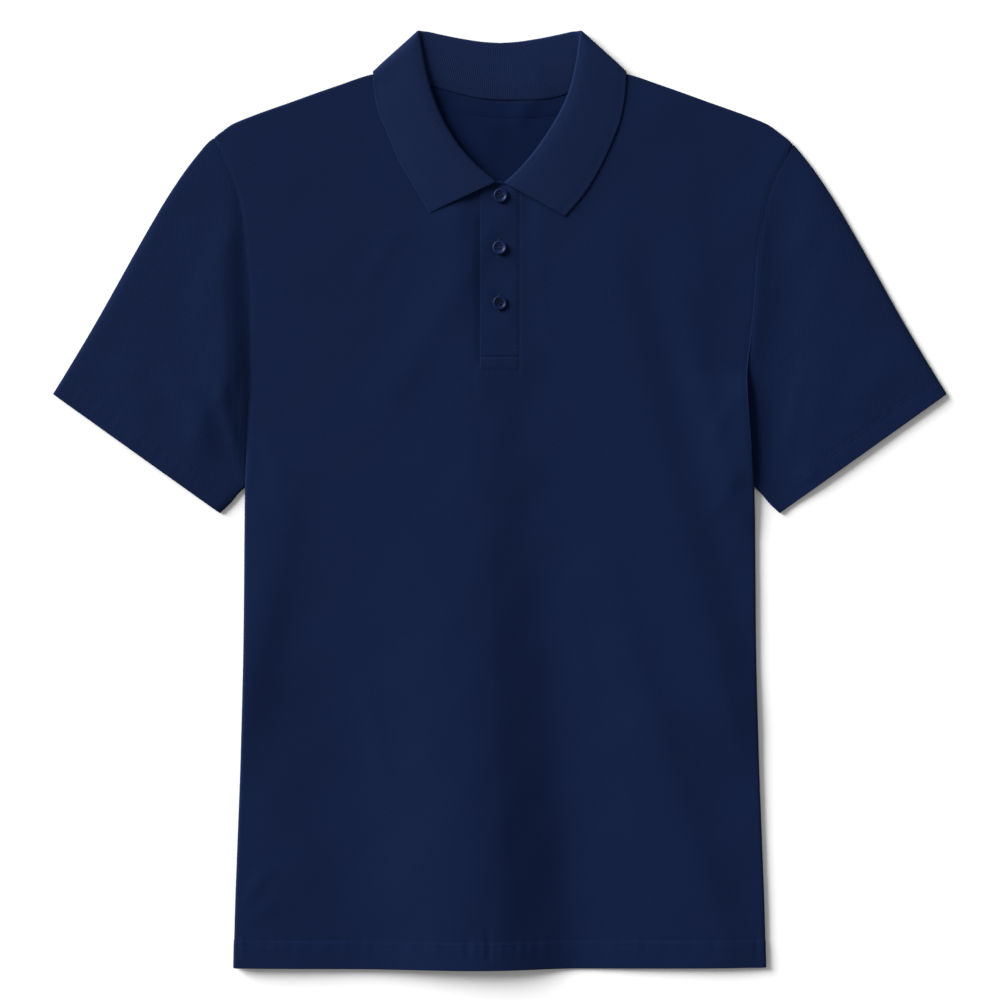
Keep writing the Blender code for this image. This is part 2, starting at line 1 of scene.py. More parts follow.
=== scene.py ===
import bpy
import numpy as np
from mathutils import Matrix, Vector


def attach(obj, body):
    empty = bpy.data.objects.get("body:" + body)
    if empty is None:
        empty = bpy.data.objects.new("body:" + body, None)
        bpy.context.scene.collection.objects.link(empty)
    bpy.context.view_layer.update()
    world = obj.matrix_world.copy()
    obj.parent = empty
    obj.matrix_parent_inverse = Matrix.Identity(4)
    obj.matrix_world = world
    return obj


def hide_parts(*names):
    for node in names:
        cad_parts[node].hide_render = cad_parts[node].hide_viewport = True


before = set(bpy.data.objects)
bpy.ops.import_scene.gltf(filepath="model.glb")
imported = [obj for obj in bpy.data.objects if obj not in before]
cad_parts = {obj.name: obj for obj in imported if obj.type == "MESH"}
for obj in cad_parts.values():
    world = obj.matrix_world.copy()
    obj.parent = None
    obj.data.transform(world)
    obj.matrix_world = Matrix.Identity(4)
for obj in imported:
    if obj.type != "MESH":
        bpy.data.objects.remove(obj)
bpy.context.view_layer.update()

# A navy short-sleeved polo shirt, buttoned and laid flat on its back. Lengths are in millimetres, and
# the meshes are written in metres. The neck points to +Y, the front faces +Z, and the floor is Z = 0.

mm = 0.001
endless = float("inf")
# Where the pattern of the cloth starts on each piece, and on the right sleeve against the left one
patternAt = {"under": 80, "top": 160, "tape": 300, "back": 700, "sleeves": 1500, "sleeve": 600}


def throughTable(at, xs, ys):
    # Monotone cubic through the points: the slope at each is the harmonic mean of its two chords
    xs, ys = np.asarray(xs, float), np.asarray(ys, float)
    step = np.diff(xs)
    chord = np.diff(ys) / step
    sameWay = chord[:-1] * chord[1:] > 0
    total = np.where(sameWay, chord[:-1] + chord[1:], 1)
    inner = np.where(sameWay, 2 * chord[:-1] * chord[1:] / total, 0)
    slope = np.concatenate([chord[:1], inner, chord[-1:]])
    cell = np.clip(np.searchsorted(xs, at) - 1, 0, len(step) - 1)
    run = step[cell]
    t = np.clip((at - xs[cell]) / run, 0, 1)
    start = ys[cell] * (1 + 2 * t) * (1 - t) ** 2 + slope[cell] * run * t * (1 - t) ** 2
    end = ys[cell + 1] * t * t * (3 - 2 * t) + slope[cell + 1] * run * t * t * (t - 1)
    return start + end


def ease(t):
    # 0 to 1 with level ends
    t = np.clip(t, 0, 1)
    return t * t * (3 - 2 * t)


def bell(t):
    return np.exp(-t * t)


def unit(vectors):
    return vectors / np.maximum(np.linalg.norm(vectors, axis=-1, keepdims=True), 1e-9)


def stack(*parts):
    # Points from their coordinates
    return np.stack(np.broadcast_arrays(*parts), axis=-1).astype(float)


def columnsOf(rows):
    return np.array(rows, float).T


def tableCurve(rows, at):
    return throughTable(at, *columnsOf(rows))


def throughPoints(points, at):
    # A smooth line through numbered points
    return np.stack([throughTable(at, np.arange(len(points)), column) for column in points.T], axis=-1)


def spread(*stretches):
    # Ascending shares: each stretch is (from, to, number of steps)
    parts = [np.linspace(start, end, steps + 1)[:-1] for start, end, steps in stretches]
    return np.concatenate(parts + [[stretches[-1][1]]])


def lengthAlong(points):
    steps = np.linalg.norm(np.diff(points, axis=0), axis=-1)
    return np.concatenate([[0], np.cumsum(steps)])


def pointsAlong(line, shares):
    # The points of a line at shares of its length
    length = lengthAlong(line)
    return np.stack([np.interp(shares * length[-1], length, column) for column in line.T], axis=-1)


def besideLine(x, y, start, end):
    # Distance along the line from its start, distance across it, and its length
    (x0, y0), (x1, y1) = start, end
    run = np.hypot(x1 - x0, y1 - y0)
    alongX, alongY = (x1 - x0) / run, (y1 - y0) / run
    return (x - x0) * alongX + (y - y0) * alongY, (x - x0) * -alongY + (y - y0) * alongX, run


def bentWaves(x, y, rows):
    # Sines whose phase another sine bends. Each row is the rise, the lengths along x and y, then how
    # much it is bent and over what lengths, and where it starts.
    total = 0
    for rise, alongX, alongY, bend, bendX, bendY, start in rows:
        bent = bend * np.sin(x / bendX + y / bendY)
        total = total + rise * np.sin(x / alongX + y / alongY + bent + start)
    return total


def slopes(at, soft):
    # 0 before 0, 1 after 1 and an even slope between them, softened at both ends
    return soft * (np.logaddexp(0, at / soft) - np.logaddexp(0, (at - 1) / soft))


def gridCells(number):
    # The four corners of each cell of a numbered grid
    return np.stack([number[:-1, :-1], number[:-1, 1:], number[1:, 1:], number[1:, :-1]], axis=-1)


def closed(grid):
    # The first column again after the last
    return np.concatenate([grid, grid[:, :1]], axis=1)


def ringTriangles(number):
    # Two triangles for each cell between rings
    cells = gridCells(closed(number)).reshape(-1, 4)
    return np.concatenate([cells[:, [0, 3, 2]], cells[:, [0, 2, 1]]])


def linked(name, data):
    obj = bpy.data.objects.new(name, data)
    bpy.context.scene.collection.objects.link(obj)
    return obj


def makeObject(name, vertices, faces, material, uv=None):
    # vertices (n, 3) in millimetres, faces (m, 4 or 3) of vertex numbers, uv (m, 4 or 3, 2)
    mesh = bpy.data.meshes.new(name)
    mesh.from_pydata(vertices * mm, [], faces, shade_flat=False)
    if uv is not None:
        mesh.uv_layers.new(name="cloth").data.foreach_set("uv", uv.astype(np.float32).ravel())
    mesh.materials.append(material)
    mesh.validate()
    return linked(name, mesh)


def surfaceNormals(points, around=False):
    # Cross product of the differences across the columns and along the rows
    along = np.gradient(points, axis=0)
    if around:
        across = np.roll(points, -1, axis=1) - np.roll(points, 1, axis=1)
    else:
        across = np.gradient(points, axis=1)
    return unit(np.cross(across, along))


rim = (88, 62, 32)               # degrees at which the rows of a round rim lie


def roundEdge(points, half, *others):
    # The first row draws in by half the thickness, and more rows step back out by the sine of an angle
    # and thin by its cosine
    angle = np.radians(rim)[:, None]
    out = unit(points[0] - points[1])
    start = points[0] - half[0][:, None] * out
    reach = np.sin(angle) * half[0]
    points = np.concatenate([start + reach[..., None] * out, start[None], points[1:]])
    half = np.concatenate([np.cos(angle) * half[0], half])
    return points, half, *(np.concatenate([np.repeat(part[:1], len(rim), axis=0), part]) for part in others)


def asPiece(obj, slotName, *nodes):
    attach(obj, "root")
    if nodes:
        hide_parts(*nodes)
    return obj


def clothShell(name, node, points, half, uv, material, slotName="pique", around=False, leftOut=None,
               reverseWithPaintedShade=None):
    # Closed shell round a middle surface, with round rims: rows by columns of points, half the thickness
    # at each, and cloth coordinates. leftOut marks the cells of a hole. The last argument is a material for
    # one
    # face, darker partly as painted shade: 0 for the face on the normals' side, 1 for the other.
    if leftOut is None:
        leftOut = np.zeros((uv.shape[0] - 1, uv.shape[1] - 1), bool)
    layers = [points, half, uv, leftOut]
    for axis in (0,) if around else (0, 1):
        for way in (1, -1):
            turned = [np.swapaxes(layer, 0, axis)[::way] for layer in layers]
            layers = [np.swapaxes(layer[::way], 0, axis) for layer in roundEdge(*turned)]
    points, half, uv, leftOut = layers
    shift = surfaceNormals(points, around) * half[..., None]
    vertices = np.concatenate([(points + shift).reshape(-1, 3), (points - shift).reshape(-1, 3)])
    rows, columns = half.shape
    count = rows * columns
    number = np.arange(count).reshape(rows, columns)
    if around:
        number = closed(number)
    cells = gridCells(np.arange(number.size).reshape(number.shape))[~leftOut]
    quads = number.ravel()[cells]
    # An edge that no neighbour runs along the other way is on the rim
    edges = np.stack([quads, np.roll(quads, -1, axis=1)], axis=-1).reshape(-1, 2)
    places = np.stack([cells, np.roll(cells, -1, axis=1)], axis=-1).reshape(-1, 2)
    alone = ~np.isin(edges[:, 0] * count + edges[:, 1], edges[:, 1] * count + edges[:, 0])
    a, b = edges[alone].T
    walls = np.stack([b, a, a + count, b + count], axis=-1)
    faces = np.concatenate([quads, quads[:, ::-1] + count, walls])
    flat = uv.reshape(-1, 2)[np.concatenate([cells, cells[:, ::-1], places[alone][:, [1, 0, 0, 1]]])]
    used, faces = np.unique(faces, return_inverse=True)
    shell = makeObject(name, vertices[used], faces.reshape(-1, 4), material, flat)
    if reverseWithPaintedShade is not None:
        face, other = reverseWithPaintedShade
        shell.data.materials.append(other)
        which = np.zeros(len(shell.data.polygons), np.int32)
        which[face * len(quads):(face + 1) * len(quads)] = 1
        shell.data.polygons.foreach_set("material_index", which)
    return asPiece(shell, slotName, node)


# The outline, the folds and the levels that every piece is worked out from
body = {
    "cloth": 0.9,
    "hemY": -383.9,
    "hemSag": 1.1,
    "straightWidth": 212.0,
    "neckWidth": 88.0,
    "armpitY": 10.5,
    "tipY": 293.5,
    "backLevel": 0.5,
    "apart": 1.25,           # the least height of the front over the back
    "level": 3.5,            # middle of the front where nothing lifts it
    "seamLevel": 1.8,
    "armholeLevel": 3.6,     # the body's edge lies over the sleeve's
    "edgeRun": 0.4,
    "lipRun": (40.0, 12.0),  # how far from the armpit and the shoulder seam that level is reached
    "lipThin": 0.84,         # how much of the thickness goes where it laps the sleeve, and how far it drops
    "lipDrop": 0.22,
    "lipFrom": 20.0,         # the way up from the armpit over which it thins, and the band along the edge
    "lipBand": (0.5, 4.0),
    "sides": [               # y, left half-width, right half-width
        (-384, 218.3, 218.3), (-336, 217.1, 217.1), (-287, 215.3, 215.3), (-213, 212.5, 212.5),
        (-115, 210.1, 210.1), (-20, 209.3, 209.3), (14, 208.9, 208.3), (62, 206.6, 204.8),
        (100, 205, 202.8), (130, 205, 206), (160, 205.9, 209.8), (195, 208.6, 211.8),
        (228, 211.2, 215.8), (255, 217.2, 221.8), (268, 222, 227.8), (286, 230, 237.5),
        (302, 236, 244.5),
    ],
    "shoulder": [
        (88, 353.5), (100, 350), (107, 348.6), (131, 340.6), (151, 333.6), (171, 326.4), (190, 319.8),
        (210, 312.3), (221, 307.4), (227, 302.9), (234, 297.7), (240, 292.4), (247, 284.5),
    ],
    "frontNeck": [
        (0, 255.5), (10, 257.5), (22, 265), (36, 279), (50, 297), (63, 318), (73, 335),
        (81, 346.5), (88, 353.5),
    ],
    "backNeck": [
        (-88, 353.5), (-72, 346.5), (-56, 341), (-41, 337), (-22, 331.6), (0, 329.4), (26, 329.4),
        (50, 332.8), (60, 337), (72, 343.5), (88, 353.5),
    ],
    "hiddenFall": [
        (0, 321.8), (20, 322.4), (40, 324.4), (60, 328), (80, 334.8), (90, 340), (98, 343.5),
        (106, 345.5), (124, 353), (144, 370),
    ],
    "fallLift": 1.9,
    "fallRamp": (54.0, 14.0),
    "backCreases": [
        (44, 344, 10, 300, 9, 0.9, 5), (-40, 330, -6, 292, 10, 0.5, -6), (8, 322, -16, 270, 8, 0.35, 3),
    ],
    # Folds: upper end, lower end, then the spread to the left and to the right and the rise, each at
    # the upper and at the lower end. One that ends in 1 climbs to its crest in an S and falls evenly
    # on its right, and the rest are bells.
    "folds": [
        (-14, 72, 6, -386, 240, 122, 32, 52, 1.1, 6.8, 1),
        (-20, 84, -36, -386, 48, 74, 34, 58, 1.1, 6.2, 0),
        (56, -40, 62, -386, 30, 32, 26, 40, -0.3, -2.6, 0),
        (-186, -30, -202, -386, 100, 120, 66, 82, 1.2, 4.9, 0),
        (-172, 20, -208, -150, 26, 24, 18, 22, 0.6, 3.3, 0),
        (103, 158, 184, -160, 100, 110, 24, 30, 2.1, 3.8, 1),
        (96, -100, 176, -350, 40, 44, 20, 24, 1.6, 3.4, 0),
        (155, 142, 184, 22, 16, 20, 10, 13, 0.7, 1.1, 0),
        (158, 214, 164, 130, 20, 20, 14, 16, 0.5, 0.8, 0),
        (-31, 186, -70, 118, 20, 22, 13, 15, 0.8, 1, 0),
    ],
    "foldEnd": 55.0,
    "foldSoft": 0.09,
    "hemSettle": (0.22, 55.0),   # the share of the folds' rise that goes at the hem, and over what length
    # The cloth never lies quite flat
    "waves": [
        (0.22, 23, 90, 0.6, endless, 71, 0), (0.08, endless, 26, 1.9, 47, endless, 1.3),
        (0.07, 9.7, -13.1, 2, 41, endless, 0),
    ],
    # Small creases: from x y, to x y, half-width, rise, and how far the middle bends to the left
    "creases": [
        (-185, -296, -212, -341, 6, 0.5, 2), (-180, -325, -212, -346, 5.5, 0.3, -1.5),
        (-10, -345, -9, -384, 2.2, -0.5, 0), (-12, 84, -13, 6, 7, -0.3, 1),
        (-196, 60, -170, 12, 7, 0.6, 3), (-200, 20, -160, -34, 6, 0.4, -3),
        (198, 34, 168, -20, 7, 0.5, -3), (196, 88, 172, 40, 6, 0.4, 2),
        (26, 160, 74, 96, 6, 0.3, 4), (-70, 232, -112, 168, 8, 0.35, 5),
        (84, 236, 124, 190, 8, 0.3, -5), (-120, -120, -96, -260, 9, 0.35, -6),
        (62, -40, 84, -210, 10, 0.35, 7),
    ],
    # The layers under the collar lift the front round it: y, spread across and along, rise
    "neckRise": (300.0, 140.0, 105.0, 2.0),
    "neckRamp": (20.0, 16.0),    # from where it starts beside the middle, and over what width
    # The right edge stands over the sleeve below the chest: y, rise, and how far in it dies out
    "edgeRoll": [(-30, 0), (6, 2.2), (30, 3.9), (84, 3.9), (112, 0.5), (140, 0.0), (290, 0.0)],
    "rollWidth": 32.0,
    # The panel swells left of the placket: y and rise, then where it is highest and its spread each way
    "swell": [(98, 0), (112, 0.6), (140, 1.3), (185, 1.8), (228, 1.7), (246, 0)],
    "swellX": -23.5,
    "swellSpread": (34.0, 7.4),
    "swellStop": 2.4,        # it ends over this width at the band's left edge
    # It also rises to the band at its sewn edge and its end, and no more under it, left of it and above
    "bandRise": 0.6,
    "bandSpread": 13.0,
    "bandUnder": (2.6, 5.0),
    "bandLeft": 6.0,
    "bandTop": (264.0, 10.0),
}
hem = {
    "depth": 22.4,
    "soft": 0.8,
    "twin": 3.2,             # between the two rows of stitches
    "step": 0.5,
    "cuffStep": -0.04,
    "cuffPull": 0.5,
    "hidden": 0.15,
    "groove": 0.36,
    "grooveWidth": 0.7,
    "pucker": 0.16,
    "puckerWaves": [(1, 1.35, endless, 1.7, 11.3, endless, 0), (0.6, 2.9, endless, 0, 1, endless, 1)],
    "puckerBelow": 4.0,
    "puckerSpread": 7.0,
    "backStep": 0.2,         # how much thicker the back's own hem is
}
placketCut = {"half": 13.5, "end": 118.0}


def halfWidth(y, side):
    height, left, right = columnsOf(body["sides"])
    return np.where(np.asarray(side) < 0, throughTable(y, height, left), throughTable(y, height, right))


def columnX(share, y):
    # Straight near the middle, and along the side's own outline at a share of 1
    straight = body["straightWidth"]
    return share * (straight + (halfWidth(y, share) - straight) * share ** 2)


def frontNeck(x):
    return tableCurve(body["frontNeck"], abs(x))


def backNeck(x):
    return tableCurve(body["backNeck"], x)


def shoulderY(x):
    return tableCurve(body["shoulder"], abs(x))


def hemY(x):
    return body["hemY"] - body["hemSag"] * (1 - (x / body["straightWidth"]) ** 2).clip(0, 1)


def panelPlan(neckline, columns, rows):
    # Each column runs from the hem to where it meets the neckline or the shoulder seam
    share, up = np.meshgrid(columns, rows)
    top = np.full((1, len(columns)), body["tipY"])
    for _ in range(40):
        x = columnX(share[:1], top)
        edge = np.where(abs(x) < body["neckWidth"], neckline(x), shoulderY(x))
        top = (top + edge) / 2
    bottom = hemY(share * body["straightWidth"])
    y = bottom + up * (top - bottom)
    return columnX(share, y), y


def backHeight(x, y):
    # Flat on the floor, and lifted over the part of the collar that lies under it
    fall = tableCurve(body["hiddenFall"], abs(x))
    start, end = body["fallRamp"]
    lift = body["fallLift"] * ease((y - fall + start) / (start - end))
    return body["backLevel"] + lift + creaseRise(x, y, body["backCreases"])


def foldRise(x, y):
    # Each fold is a bell or an even fall across its crest, and dies out past its ends
    total = np.zeros(np.shape(x))
    for row in body["folds"]:
        xUp, yUp, xLow, yLow, leftUp, leftLow, rightUp, rightLow, riseUp, riseLow, even = row
        along, across, run = besideLine(x, y, (xUp, yUp), (xLow, yLow))
        share = np.clip(along / run, 0, 1)
        left = leftUp + share * (leftLow - leftUp)
        right = rightUp + share * (rightLow - rightUp)
        across = across / np.where(across < 0, left, right)
        profile = slopes(1 - across, body["foldSoft"]) * ease(across + 1) if even else bell(across)
        past = (along - share * run) / body["foldEnd"]
        total += (riseUp + share * (riseLow - riseUp)) * profile * bell(past)
    settle, length = body["hemSettle"]
    return total * (1 - settle * bell((y - body["hemY"]) / length))


def creaseRise(x, y, rows):
    # A narrow bell across a bent line, easing in and out along it
    total = np.zeros(np.shape(x))
    for x0, y0, x1, y1, width, rise, bend in rows:
        along, across, run = besideLine(x, y, (x0, y0), (x1, y1))
        share = along / run
        across = across + bend * 4 * share * (1 - share)
        total += rise * bell(across / width) * ease(share * 3) * ease((1 - share) * 3)
    return total


def frontHeight(x, y):
    # Middle of the front: the level of the seams, climbing to the panel's own with the folds, the creases
    # and the rolled edge, and never nearer to the back than the gap between them
    back = backHeight(x, y)
    inset = (halfWidth(y, x) - abs(x)).clip(0)
    below = (shoulderY(abs(x).clip(body["neckWidth"])) - y).clip(0)
    climb = (1 - np.exp(-inset / body["edgeRun"])) * (1 - np.exp(-below / body["edgeRun"]))
    up, down = body["lipRun"]
    lip = ease((y - body["armpitY"]) / up) * ease(below / down)
    seam = body["seamLevel"] + (body["armholeLevel"] - body["seamLevel"]) * lip
    roll = np.where(np.asarray(x) > 0, tableCurve(body["edgeRoll"], y), 0) * bell(inset / body["rollWidth"])
    loose = foldRise(x, y) + creaseRise(x, y, body["creases"]) + bentWaves(x, y, body["waves"])
    neckY, wide, tall, lift = body["neckRise"]
    start, run = body["neckRamp"]
    loose = loose + lift * bell(np.hypot(x / wide, (y - neckY) / tall)) * ease((abs(x) - start) / run)
    height = seam + (body["level"] - seam + loose) * climb + roll
    ramp = ((back - body["backLevel"]) / body["fallLift"]).clip(0, 1)
    return np.maximum(height, back + body["apart"] + 2 * ramp * (1 - ramp))


def besideBand(x, y):
    # A lopsided bell left of the top band, stopping under it, and a bell of the distance from its right
    # edge and its end
    aside = x - body["swellX"]
    left = tableCurve(body["swell"], y) * bell(aside / np.where(aside < 0, *body["swellSpread"]))
    left = left * ease((placket["left"] - x) / body["swellStop"] + 1)
    away = np.hypot((x - placket["right"]).clip(0), (placket["end"] - y).clip(0))
    wide, tall = body["bandUnder"]
    under = np.minimum((placket["right"] - x) / wide, (y - placket["end"]) / tall).clip(0)
    right = body["bandRise"] * bell(away / body["bandSpread"]) * ease(1 - under)
    top, run = body["bandTop"]
    right = right * ease((x - placket["left"]) / body["bandLeft"] + 1) * ease((top - y) / run)
    return left + right


def insideHem(height):
    # 1 up to the stitches and 0 above them
    return ease((hem["depth"] + hem["soft"] - height) / (2 * hem["soft"]))


def hemShape(height, across, step, pull=1.0):
    # Rise of the face by the height above the hem: a second layer up to the stitches, two grooves where
    # the stitches pull in, and small puckers below them, waves along the hem
    above = height - hem["depth"]
    grooves = bell(above / hem["grooveWidth"]) + bell((above + hem["twin"]) / hem["grooveWidth"])
    wave = hem["pucker"] * bentWaves(across, 0, hem["puckerWaves"])
    pucker = wave * bell((above + hem["puckerBelow"]) / hem["puckerSpread"])
    return step * insideHem(height) + pull * (pucker - hem["groove"] * grooves)


def frontFace(x, y):
    # The outer face of the front panel
    height = frontHeight(x, y) + besideBand(x, y)
    return height + body["cloth"] / 2 + hemShape(y - hemY(x), x, hem["step"])


def panelColumns(inner, middle, outer):
    cut = placketCut["half"] / body["straightWidth"]
    half = spread((0, cut, inner), (cut, 0.14, inner + 4), (0.14, 0.96, middle), (0.96, 0.993, outer),
                  (0.993, 1, 4))
    return np.concatenate([-half[:0:-1], half])


def frontPanel(material, insideWithPaintedShade):
    # The columns run from the hem to the neckline or the shoulder, and the placket's cut is left out
    columns = panelColumns(6, 56, 7)
    cutRow = (placketCut["end"] - body["hemY"]) / (frontNeck(np.zeros(1))[0] - body["hemY"])
    rows = spread((0, 0.047, 22), (0.047, cutRow, 150), (cutRow, 0.975, 38), (0.975, 0.996, 7),
                  (0.996, 1, 4))
    x, y = panelPlan(frontNeck, columns, rows)
    inset = halfWidth(y, x) - abs(x)
    full, run = body["lipBand"]
    lip = ease((y - body["armpitY"]) / body["lipFrom"]) * ease(1 - (inset - full) / run)
    turned = (hem["step"] + hem["hidden"]) * insideHem(y - hemY(x))
    half = (body["cloth"] * (1 - body["lipThin"] * lip) + turned) / 2
    z = frontFace(x, y) - half - body["cloth"] * body["lipDrop"] * lip
    middles = (columns[:-1] + columns[1:]) / 2 * body["straightWidth"]
    cut = np.outer((rows[:-1] + rows[1:]) / 2 > cutRow, abs(middles) < placketCut["half"])
    # Across the cloth the coordinate is the length over the folds, from the middle
    steps = np.hypot(np.diff(x, axis=1), np.diff(z, axis=1))
    over = np.concatenate([np.zeros((len(rows), 1)), np.cumsum(steps, axis=1)], axis=1)
    over = over - over[:, [len(columns) // 2]]
    # The underside takes the inside material, darker partly as painted shade
    return clothShell("frontPanel", "front", stack(x, y, z), half, stack(over, y), material,
                      leftOut=cut, reverseWithPaintedShade=(1, insideWithPaintedShade))


def backPanel(material, insideWithPaintedShade):
    columns = panelColumns(4, 44, 6)
    rows = spread((0, 0.04, 10), (0.04, 0.8, 70), (0.8, 1, 44))
    x, y = panelPlan(backNeck, columns, rows)
    half = (body["cloth"] + hem["backStep"] * insideHem(y - hemY(x))) / 2
    z = backHeight(x, y) - body["backLevel"] + half
    uv = stack(x + patternAt["back"], y)
    # The top face, the inside of the shirt, takes the inside material, darker partly as painted shade
    return clothShell("backPanel", "back", stack(x, y, z), half, uv, material, reverseWithPaintedShade=(0, insideWithPaintedShade))


sleeve = {
    "cloth": 0.8,
    "bottom": 0.4,
    "edgeLevel": 2.7,        # the top layer by the folded shoulder edge and by the underarm seam
    "tuck": 1.6,             # how far the top layer goes in under the body's edge, and more at the tip
    "tipTuck": 4.0,
    "clear": 0.4,
    "cuffDepth": 16.2,
    "outer": [
        (240.2, 292.6), (247, 284.5), (253.5, 276.4), (260.1, 267.4), (273.2, 247.7), (286.3, 225.7),
        (299.5, 202.7), (332.3, 144.5), (358.5, 100.8), (367.1, 86.9),
    ],
    "under": [(208.9, 10.5), (214.2, 5.6), (221.0, -2.6), (229.9, -11.0)],
    # Beside the armhole: the share of the way down it, then the height of the top layer at each of the
    # distances from where it goes in under the body's edge
    "distances": (0, 1.5, 3, 8, 16, 27, 45, 80),
    "besideLeft": [
        (0, 2.8, 2.9, 3, 3.1, 3.2, 3.3, 3.5, 3.6), (0.05, 3.1, 3.25, 3.25, 3.25, 3.3, 3.4, 3.5, 3.6),
        (0.11, 3.1, 3.25, 3.3, 3.3, 3.4, 3.5, 3.6, 3.6), (0.2, 2.8, 3, 3.2, 3.8, 4.3, 4.4, 4.2, 3.8),
        (0.29, 2.6, 2.8, 3, 4, 5.4, 6, 5.6, 4.2), (0.46, 2.5, 2.65, 2.8, 3.7, 5.4, 6.7, 6.3, 4.6),
        (0.55, 2.4, 2.6, 2.8, 3.9, 5.8, 7.2, 6.7, 4.7), (0.63, 2.3, 2.5, 2.8, 4.1, 6, 7, 6.4, 4.7),
        (0.72, 2.2, 2.4, 2.7, 3.8, 4.8, 5.2, 5.1, 4.4), (0.81, 1.7, 1.9, 2.3, 3.3, 3.9, 4.2, 4.3, 4),
        (0.89, 1.9, 2.2, 2.6, 3.2, 3.5, 3.7, 3.7, 3.6), (1, 2.6, 2.9, 3.1, 3.3, 3.5, 3.6, 3.5, 3.4),
    ],
    "besideRight": [
        (0, 3.1, 3.2, 3.2, 3.2, 3.3, 3.5, 3.8, 3.8), (0.05, 3.4, 3.55, 3.5, 3.4, 3.4, 3.6, 3.9, 3.8),
        (0.11, 3.3, 3.45, 3.45, 3.4, 3.3, 3.2, 3.4, 3.8), (0.2, 3.25, 3.4, 3.4, 3.1, 2.7, 2.4, 2.7, 3.7),
        (0.29, 3.25, 3.4, 3.35, 3, 2.5, 2.1, 2.2, 3.6), (0.46, 3.25, 3.4, 3.35, 3.05, 2.55, 2, 1.9, 3.6),
        (0.55, 3.25, 3.4, 3.35, 3.05, 2.5, 1.9, 1.8, 3.6), (0.62, 3.1, 3.2, 3.1, 2.8, 2.2, 1.7, 1.8, 3.6),
        (0.67, 2.2, 2.2, 2.2, 2.1, 1.9, 1.6, 1.8, 3.6), (0.72, 1.25, 1.25, 1.25, 1.4, 1.8, 1.6, 1.9, 3.6),
        (0.87, 1.25, 1.25, 1.25, 1.3, 1.8, 1.8, 2.1, 3.6), (0.95, 1.3, 1.3, 1.35, 1.7, 1.9, 2, 2.4, 3.5),
        (1, 1.8, 1.8, 1.9, 2, 2.1, 2.2, 2.6, 3.4),
    ],
    "soft": 0.13,
    "edgePower": 22,         # the higher, the nearer to the edges the top layer keeps its height
    "looseFrom": 20.0,       # creases and waves are whole this far from the armhole
    "turnShare": 60,         # one over the share of the width that draws in round the shoulder and underarm
    "creases": [
        (254, 122, 234, 26, 7, 0.5, 3), (-275, 112, -240, 24, 13, 1.4, -7),
        (-232, 106, -204, 20, 7, 1, 4), (-262, 232, -228, 196, 11, 0.5, 3),
        (262, 236, 228, 186, 12, 0.5, -4), (330, 118, 286, 66, 14, 0.5, 5),
        (-318, 122, -290, 58, 15, 0.6, -6), (236, 12, 262, 30, 6, 0.5, 2),
        (-234, 12, -266, 34, 6, 0.5, -3),
    ],
}


def alongColumns(points, measure, at):
    # The point of each column where a measure that falls along it comes to the value at
    below = (measure > at).sum(axis=0)
    column = np.arange(points.shape[1])
    first, second = measure[below - 1, column], measure[below, column]
    share = ((first - at) / (first - second))[:, None]
    return points[below - 1, column] * (1 - share) + points[below, column] * share


def evenly(rows, shares):
    # Points at shares of the length of a line through a table's rows
    points = np.array(rows, float)
    return pointsAlong(throughPoints(points, np.linspace(0, len(points) - 1, 400)), shares)


def armholeLine(side, shares):
    # Points at shares of the armhole's length, from the shoulder down, mirrored to the + side. It
    # starts where the side's outline crosses the shoulder's.
    tip = np.array([body["tipY"]])
    for _ in range(30):
        tip = (tip + shoulderY(halfWidth(tip, side))) / 2
    y = np.linspace(tip[0], body["armpitY"], 400)
    return pointsAlong(stack(halfWidth(y, np.full(400, float(side))), y), shares)


def sleevePlan(side, out, across):
    # Coons patch between the armhole, the cuff, the folded shoulder edge and the underarm seam
    draw = (sleeve["edgeLevel"] - sleeve["bottom"]) / 2 + sleeve["cloth"] / 2
    root = armholeLine(side, across) + [sleeve["clear"], 0]
    outerRows = [tuple(root[0])] + [row for row in sleeve["outer"] if row[0] > root[0, 0] + 3]
    outer, under = evenly(outerRows, out), evenly(sleeve["under"], out)
    outer[0], under[0] = root[0], root[-1]
    t = across[:, None]
    cuff = outer[-1] + t * (under[-1] - outer[-1])
    s, t = out[:, None, None], across[None, :, None]
    plan = (1 - s) * root[None] + s * cuff[None] + (1 - t) * outer[:, None] + t * under[:, None]
    plan = plan - (1 - s) * (1 - t) * outer[0] - (1 - s) * t * under[0]
    plan = plan - s * (1 - t) * outer[-1] - s * t * under[-1]
    inward = unit(plan[:, -1:] - plan[:, :1])
    near = bell(t * sleeve["turnShare"]) - bell((1 - t) * sleeve["turnShare"])
    return plan + inward * near * draw


